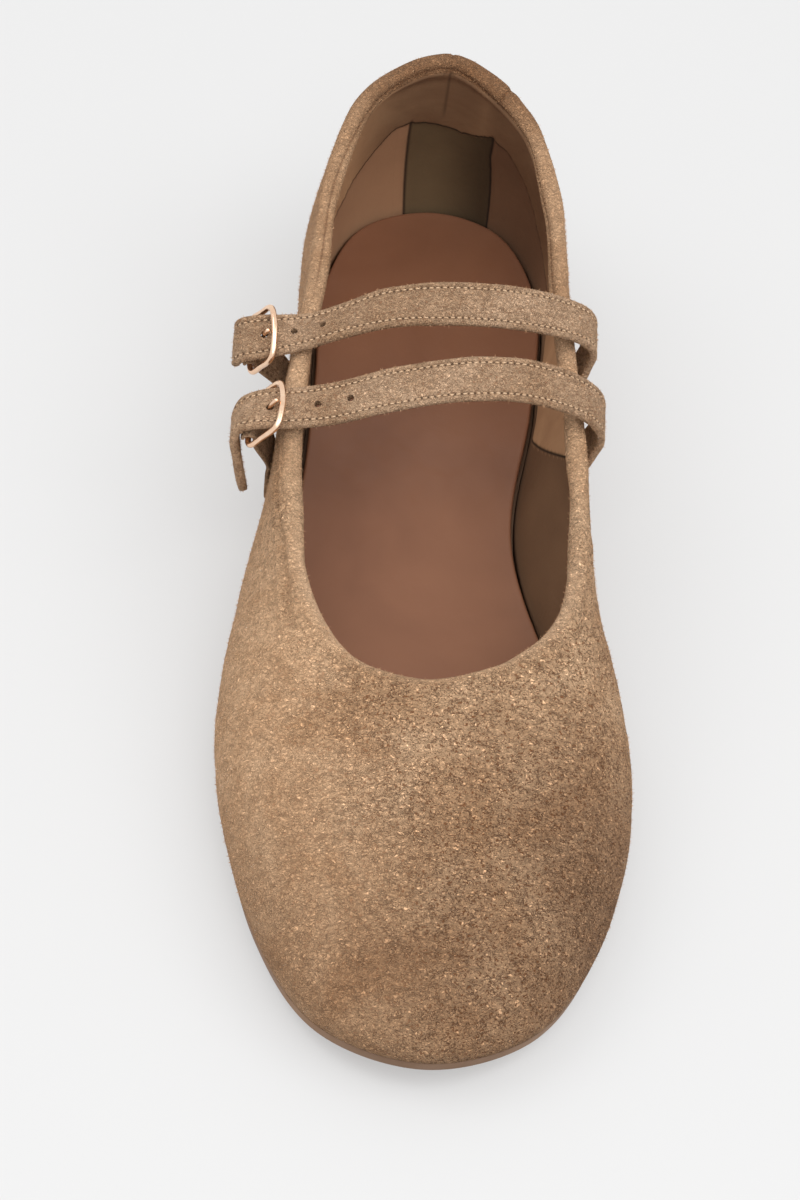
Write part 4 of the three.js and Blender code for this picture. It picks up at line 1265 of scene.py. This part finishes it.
class BuckleFrame:
    """pivot and far bar middles, and the directions along, wide and rise of one buckle."""

    def __init__(self, path, pivot_row):
        under = TAB_THICKNESS + STRAP_THICKNESS / 2 + FRAME_WIRE / 2 + 2 * CLEARANCE
        over = STRAP_THICKNESS / 2 + FRAME_WIRE / 2 + 2 * CLEARANCE
        away = np.array([-1, 0, 1])
        share = (LAP_ROWS + pivot_row) / (path.rows - 1)
        p, forward, fold_wide, face = path.at(share)
        self.pivot = p[0] - face[0] * under * np.sign(face[0] @ away)
        share = np.arange(share, 0.5, -0.001)
        p, forward, wide, face = path.at(share)
        bars = p + face * over * np.sign(face @ away)[:, None]
        far = int(np.argmax(np.linalg.norm(bars - self.pivot, axis=1) >= FRAME_LENGTH))
        self.far = bars[far]
        self.along = unit(self.far - self.pivot)
        rise = unit(np.cross(self.along, fold_wide[0] + wide[far]))
        self.rise = rise if rise[2] > 0 else -rise
        self.wide = unit(np.cross(self.rise, self.along))

    def at(self, a, w, r=0.0):
        return self.pivot + self.along * a + self.wide * w + self.rise * r


def wire_mesh(name, points, radius, reference, closed=False, sides=16, steps=200):
    line = spline(points, closed)
    share = np.arange(steps) / steps if closed else np.linspace(0, 1, steps)
    p = line(share)
    low, high = (-1e9, 1e9) if closed else (0, 1)
    forward = unit(line(np.minimum(share + 1e-3, high)) - line(np.maximum(share - 1e-3, low)))
    side = unit(np.cross(forward, reference))
    other = unit(np.cross(forward, side))
    reach = np.full(len(share), float(radius))
    if not closed:
        gone = np.concatenate([[0], np.cumsum(np.linalg.norm(np.diff(p, axis=0), axis=1))])
        rest = gone[-1] - gone
        reach = radius * np.sqrt(np.clip(1 - (1 - np.clip(rest / radius, 0, 1)) ** 2, 0.02, 1))
    loop = []
    for k in range(sides):
        angle = 2 * math.pi * k / sides
        spoke = side * math.cos(angle) + other * math.sin(angle)
        loop.append(p + spoke * reach[:, None])
    loop = np.array(loop).transpose(1, 0, 2)
    n, m = loop.shape[:2]
    faces = grid_faces(n, m, rows_round=closed, columns_round=True)
    if not closed:
        faces.append(list(range(m)))
        faces.append([(n - 1) * m + j for j in range(m)])
    return mesh_of(name, loop.reshape(-1, 3), faces)


def plated_wire():
    """Polished plating in pale rose gold, with faint smudges and fine rubbing marks."""
    made, tree, shader = material("rose plating", metallic=1.0)
    place = node(tree, "ShaderNodeTexCoord")
    smudge = node(tree, "ShaderNodeTexNoise", {"Scale": 420.0, "Detail": 3.0})
    rub = node(tree, "ShaderNodeTexNoise", {"Scale": 1900.0, "Detail": 2.0})
    for texture in (smudge, rub):
        tree.links.new(place.outputs["Object"], texture.inputs["Vector"])
    worn = {"From Min": 0.3, "From Max": 0.7, "To Min": 0.14, "To Max": 0.3}
    rough = node(tree, "ShaderNodeMapRange", worn)
    tree.links.new(smudge.outputs["Fac"], rough.inputs["Value"])
    tree.links.new(rough.outputs["Result"], shader.inputs["Roughness"])
    tint = ramp(tree, [(0.3, linear(240, 198, 166)), (0.7, linear(252, 220, 190))])
    tree.links.new(smudge.outputs["Fac"], tint.inputs["Fac"])
    tree.links.new(tint.outputs["Color"], shader.inputs["Base Color"])
    relief = node(tree, "ShaderNodeBump", {"Strength": 0.03, "Distance": 0.00003})
    tree.links.new(rub.outputs["Fac"], relief.inputs["Height"])
    tree.links.new(relief.outputs["Normal"], shader.inputs["Normal"])
    return made


PLATING = plated_wire()
FRAMES = {name: BuckleFrame(path, STRAPS[name]["pivot_row"]) for name, path in STRAP_PATHS.items()}
HALF = STRAP_WIDTH / 2 + FRAME_MARGIN + FRAME_WIRE / 2
FRAME_OUTLINE = [
    (0, 0),
    (0, HALF - FRAME_CORNER),
    (FRAME_CORNER, HALF),
    (FRAME_LENGTH * 0.5, HALF),
    (FRAME_LENGTH - FRAME_CORNER, HALF - FRAME_NIP),
    (FRAME_LENGTH, HALF - FRAME_CORNER),
    (FRAME_LENGTH + FRAME_PEAK, 0),
    (FRAME_LENGTH, FRAME_CORNER - HALF),
    (FRAME_LENGTH - FRAME_CORNER, FRAME_NIP - HALF),
    (FRAME_LENGTH * 0.5, -HALF),
    (FRAME_CORNER, -HALF),
    (0, FRAME_CORNER - HALF),
]
for name, b in FRAMES.items():
    ring = [b.at(a, w) for a, w in FRAME_OUTLINE]
    buckle = wire_mesh("buckle_frame_" + name, ring, FRAME_WIRE / 2 + PLATE, b.rise, closed=True)
    dress(buckle, "rosy_metal", PLATING)
    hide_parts("buckle_" + name)

# Prongs
# A wire eye bent round the pivot bar, and a shank that comes up through the strap's hole and lies on the
# far bar. The strap is cut round it, so the hole is wider than the wire.
EYE_DEGREES = [340, 290, 240, 190, 140, 90]
for name, b in FRAMES.items():
    eye = FRAME_WIRE / 2 + PRONG_WIRE / 2 + CLEARANCE
    bend = [b.at(eye * math.cos(math.radians(d)), 0, eye * math.sin(math.radians(d))) for d in EYE_DEGREES]
    shank = [
        b.at(FRAME_LENGTH * 0.3, 0, eye * 0.6),
        b.at(FRAME_LENGTH * 0.6, 0, eye * 0.2),
        b.at(FRAME_LENGTH * 0.85, 0, eye * 0.75),
        b.at(FRAME_LENGTH + FRAME_WIRE * 0.6, 0, eye),
    ]
    room = wire_mesh("prong_room", bend + shank, PRONG_WIRE / 2 + CLEARANCE, b.wide, sides=12, steps=60)
    strap = STRAP_PIECES[name]
    cut_away(strap, room)
    dress(strap, "suede", STRAP_SUEDE)
    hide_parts("strap_" + name)
    copy = bpy.data.objects.new("carrier", strap.data.copy())
    bpy.context.scene.collection.objects.link(copy)
    fuzz_on("strap_fuzz_" + name, copy, STRAP_FIBRES)
    prong = wire_mesh("prong_wire_" + name, bend + shank, PRONG_WIRE / 2, b.wide, sides=12, steps=120)
    dress(prong, "rosy_metal", PLATING)
    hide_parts("prong_" + name)

# Tabs
# A thin band of suede, sewn to the outer quarter, that comes up between wall and strap to the pivot bar.
# It bends round the bar and ends on the outer side.
TAB_SECTION = [
    (1.0, 0.0), (0.97, 0.7), (0.9, 1.0), (0.0, 1.0), (-0.9, 1.0), (-0.97, 0.7),
    (-1.0, 0.0), (-0.97, -0.7), (-0.9, -1.0), (0.0, -1.0), (0.9, -1.0), (0.97, -0.7),
]
TAB_LOOP = [(1, -1.2), (1, 0), (0.7, 0.7), (0, 1), (-0.7, 0.7), (-1, 0), (-1, -0.7)]
for name, b in FRAMES.items():
    bend = FRAME_WIRE / 2 + TAB_THICKNESS / 2 + CLEARANCE
    wide = -b.wide if b.wide[1] > 0 else b.wide
    inward = unit(np.array([1.0, 0, 0]) - wide * wide[0])
    upward = unit(np.cross(inward, wide))
    upward = upward if upward[2] > 0 else -upward
    rows = lap_rows(topline_at(-1, STRAPS[name]["lateral"]), TAB_THICKNESS)
    for x, z in TAB_LOOP:
        rows.append((b.pivot + (inward * x + upward * z) * bend, wide))
    tab_path = BandPath(rows)
    tab_path.out = 1
    tab = band_mesh("tab_suede_" + name, tab_path, TAB_WIDTH, TAB_THICKNESS, 2, 1, TAB_SECTION, step=0.15)
    dress(tab, "suede", STRAP_SUEDE)
    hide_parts("tab_" + name)

# Studio
# A pale seamless floor, soft light from all round, three broad lamps on the left, on the right and in front,
# and the camera above and in front.
floor_mesh = bpy.data.meshes.new("floor")
floor_mesh.from_pydata([(-4, -4, 0), (4, -4, 0), (4, 4, 0), (-4, 4, 0)], [], [(0, 1, 2, 3)])
floor = bpy.data.objects.new("floor", floor_mesh)
bpy.context.scene.collection.objects.link(floor)
floor_paint, _, floor_shader = material("pale floor", roughness=0.9)
# paper lit from behind as well, so that the shadows on it stay light
floor_shader.inputs["Base Color"].default_value = (*linear(150, 150, 150), 1)
floor_shader.inputs["Emission Color"].default_value = (1, 1, 1, 1)
floor_shader.inputs["Emission Strength"].default_value = 0.4
floor_mesh.materials.append(floor_paint)

world = bpy.data.worlds.new("studio")
bpy.context.scene.world = world
world.use_nodes = True
bpy.context.scene.view_settings.view_transform = "Standard"
world.node_tree.nodes["Background"].inputs["Color"].default_value = (1.0, 1.0, 1.0, 1)
world.node_tree.nodes["Background"].inputs["Strength"].default_value = 0.92


def area_light(name, place, aim, size, power):
    lamp = bpy.data.lights.new(name, "AREA")
    lamp.shape = "DISK"
    lamp.size = size
    lamp.energy = power
    made = bpy.data.objects.new(name, lamp)
    made.location = place
    made.rotation_mode = "QUATERNION"
    made.rotation_quaternion = (Vector(aim) - Vector(place)).to_track_quat("-Z", "Y")
    bpy.context.scene.collection.objects.link(made)


area_light("key", (-0.8, -0.1, 1.2), (0, -0.1, 0), 0.9, 4.2)
area_light("fill", (0.8, -0.3, 1.15), (0, 0, 0), 0.9, 4.6)
area_light("front", (0.05, -0.6, 1.0), (0, 0, 0.02), 0.8, 5)

AZIMUTH, ELEVATION, ROLL_ANGLE = (math.radians(d) for d in (-4.96, 48.62, 8.30))
DISTANCE = 0.85715
# focal length in pixels of a picture this high
FOCAL_PX, PICTURE_HEIGHT = 3815.09, 1200
target = Vector((-0.00392, -0.08808, 0.0))
back = Vector(
    (
        math.sin(AZIMUTH) * math.cos(ELEVATION),
        -math.cos(AZIMUTH) * math.cos(ELEVATION),
        math.sin(ELEVATION),
    )
)
level = Vector((math.cos(AZIMUTH), math.sin(AZIMUTH), 0))
upright = back.cross(level)
right = level * math.cos(ROLL_ANGLE) + upright * math.sin(ROLL_ANGLE)
top = upright * math.cos(ROLL_ANGLE) - level * math.sin(ROLL_ANGLE)
lens = bpy.data.cameras.new("camera")
lens.sensor_width = 36
lens.lens = FOCAL_PX / PICTURE_HEIGHT * lens.sensor_width
lens.clip_start = 0.05
camera = bpy.data.objects.new("camera", lens)
place = target + back * DISTANCE
camera.matrix_world = Matrix(
    [
        (right.x, top.x, back.x, place.x),
        (right.y, top.y, back.y, place.y),
        (right.z, top.z, back.z, place.z),
        (0, 0, 0, 1),
    ]
)
bpy.context.scene.collection.objects.link(camera)
bpy.context.scene.camera = camera
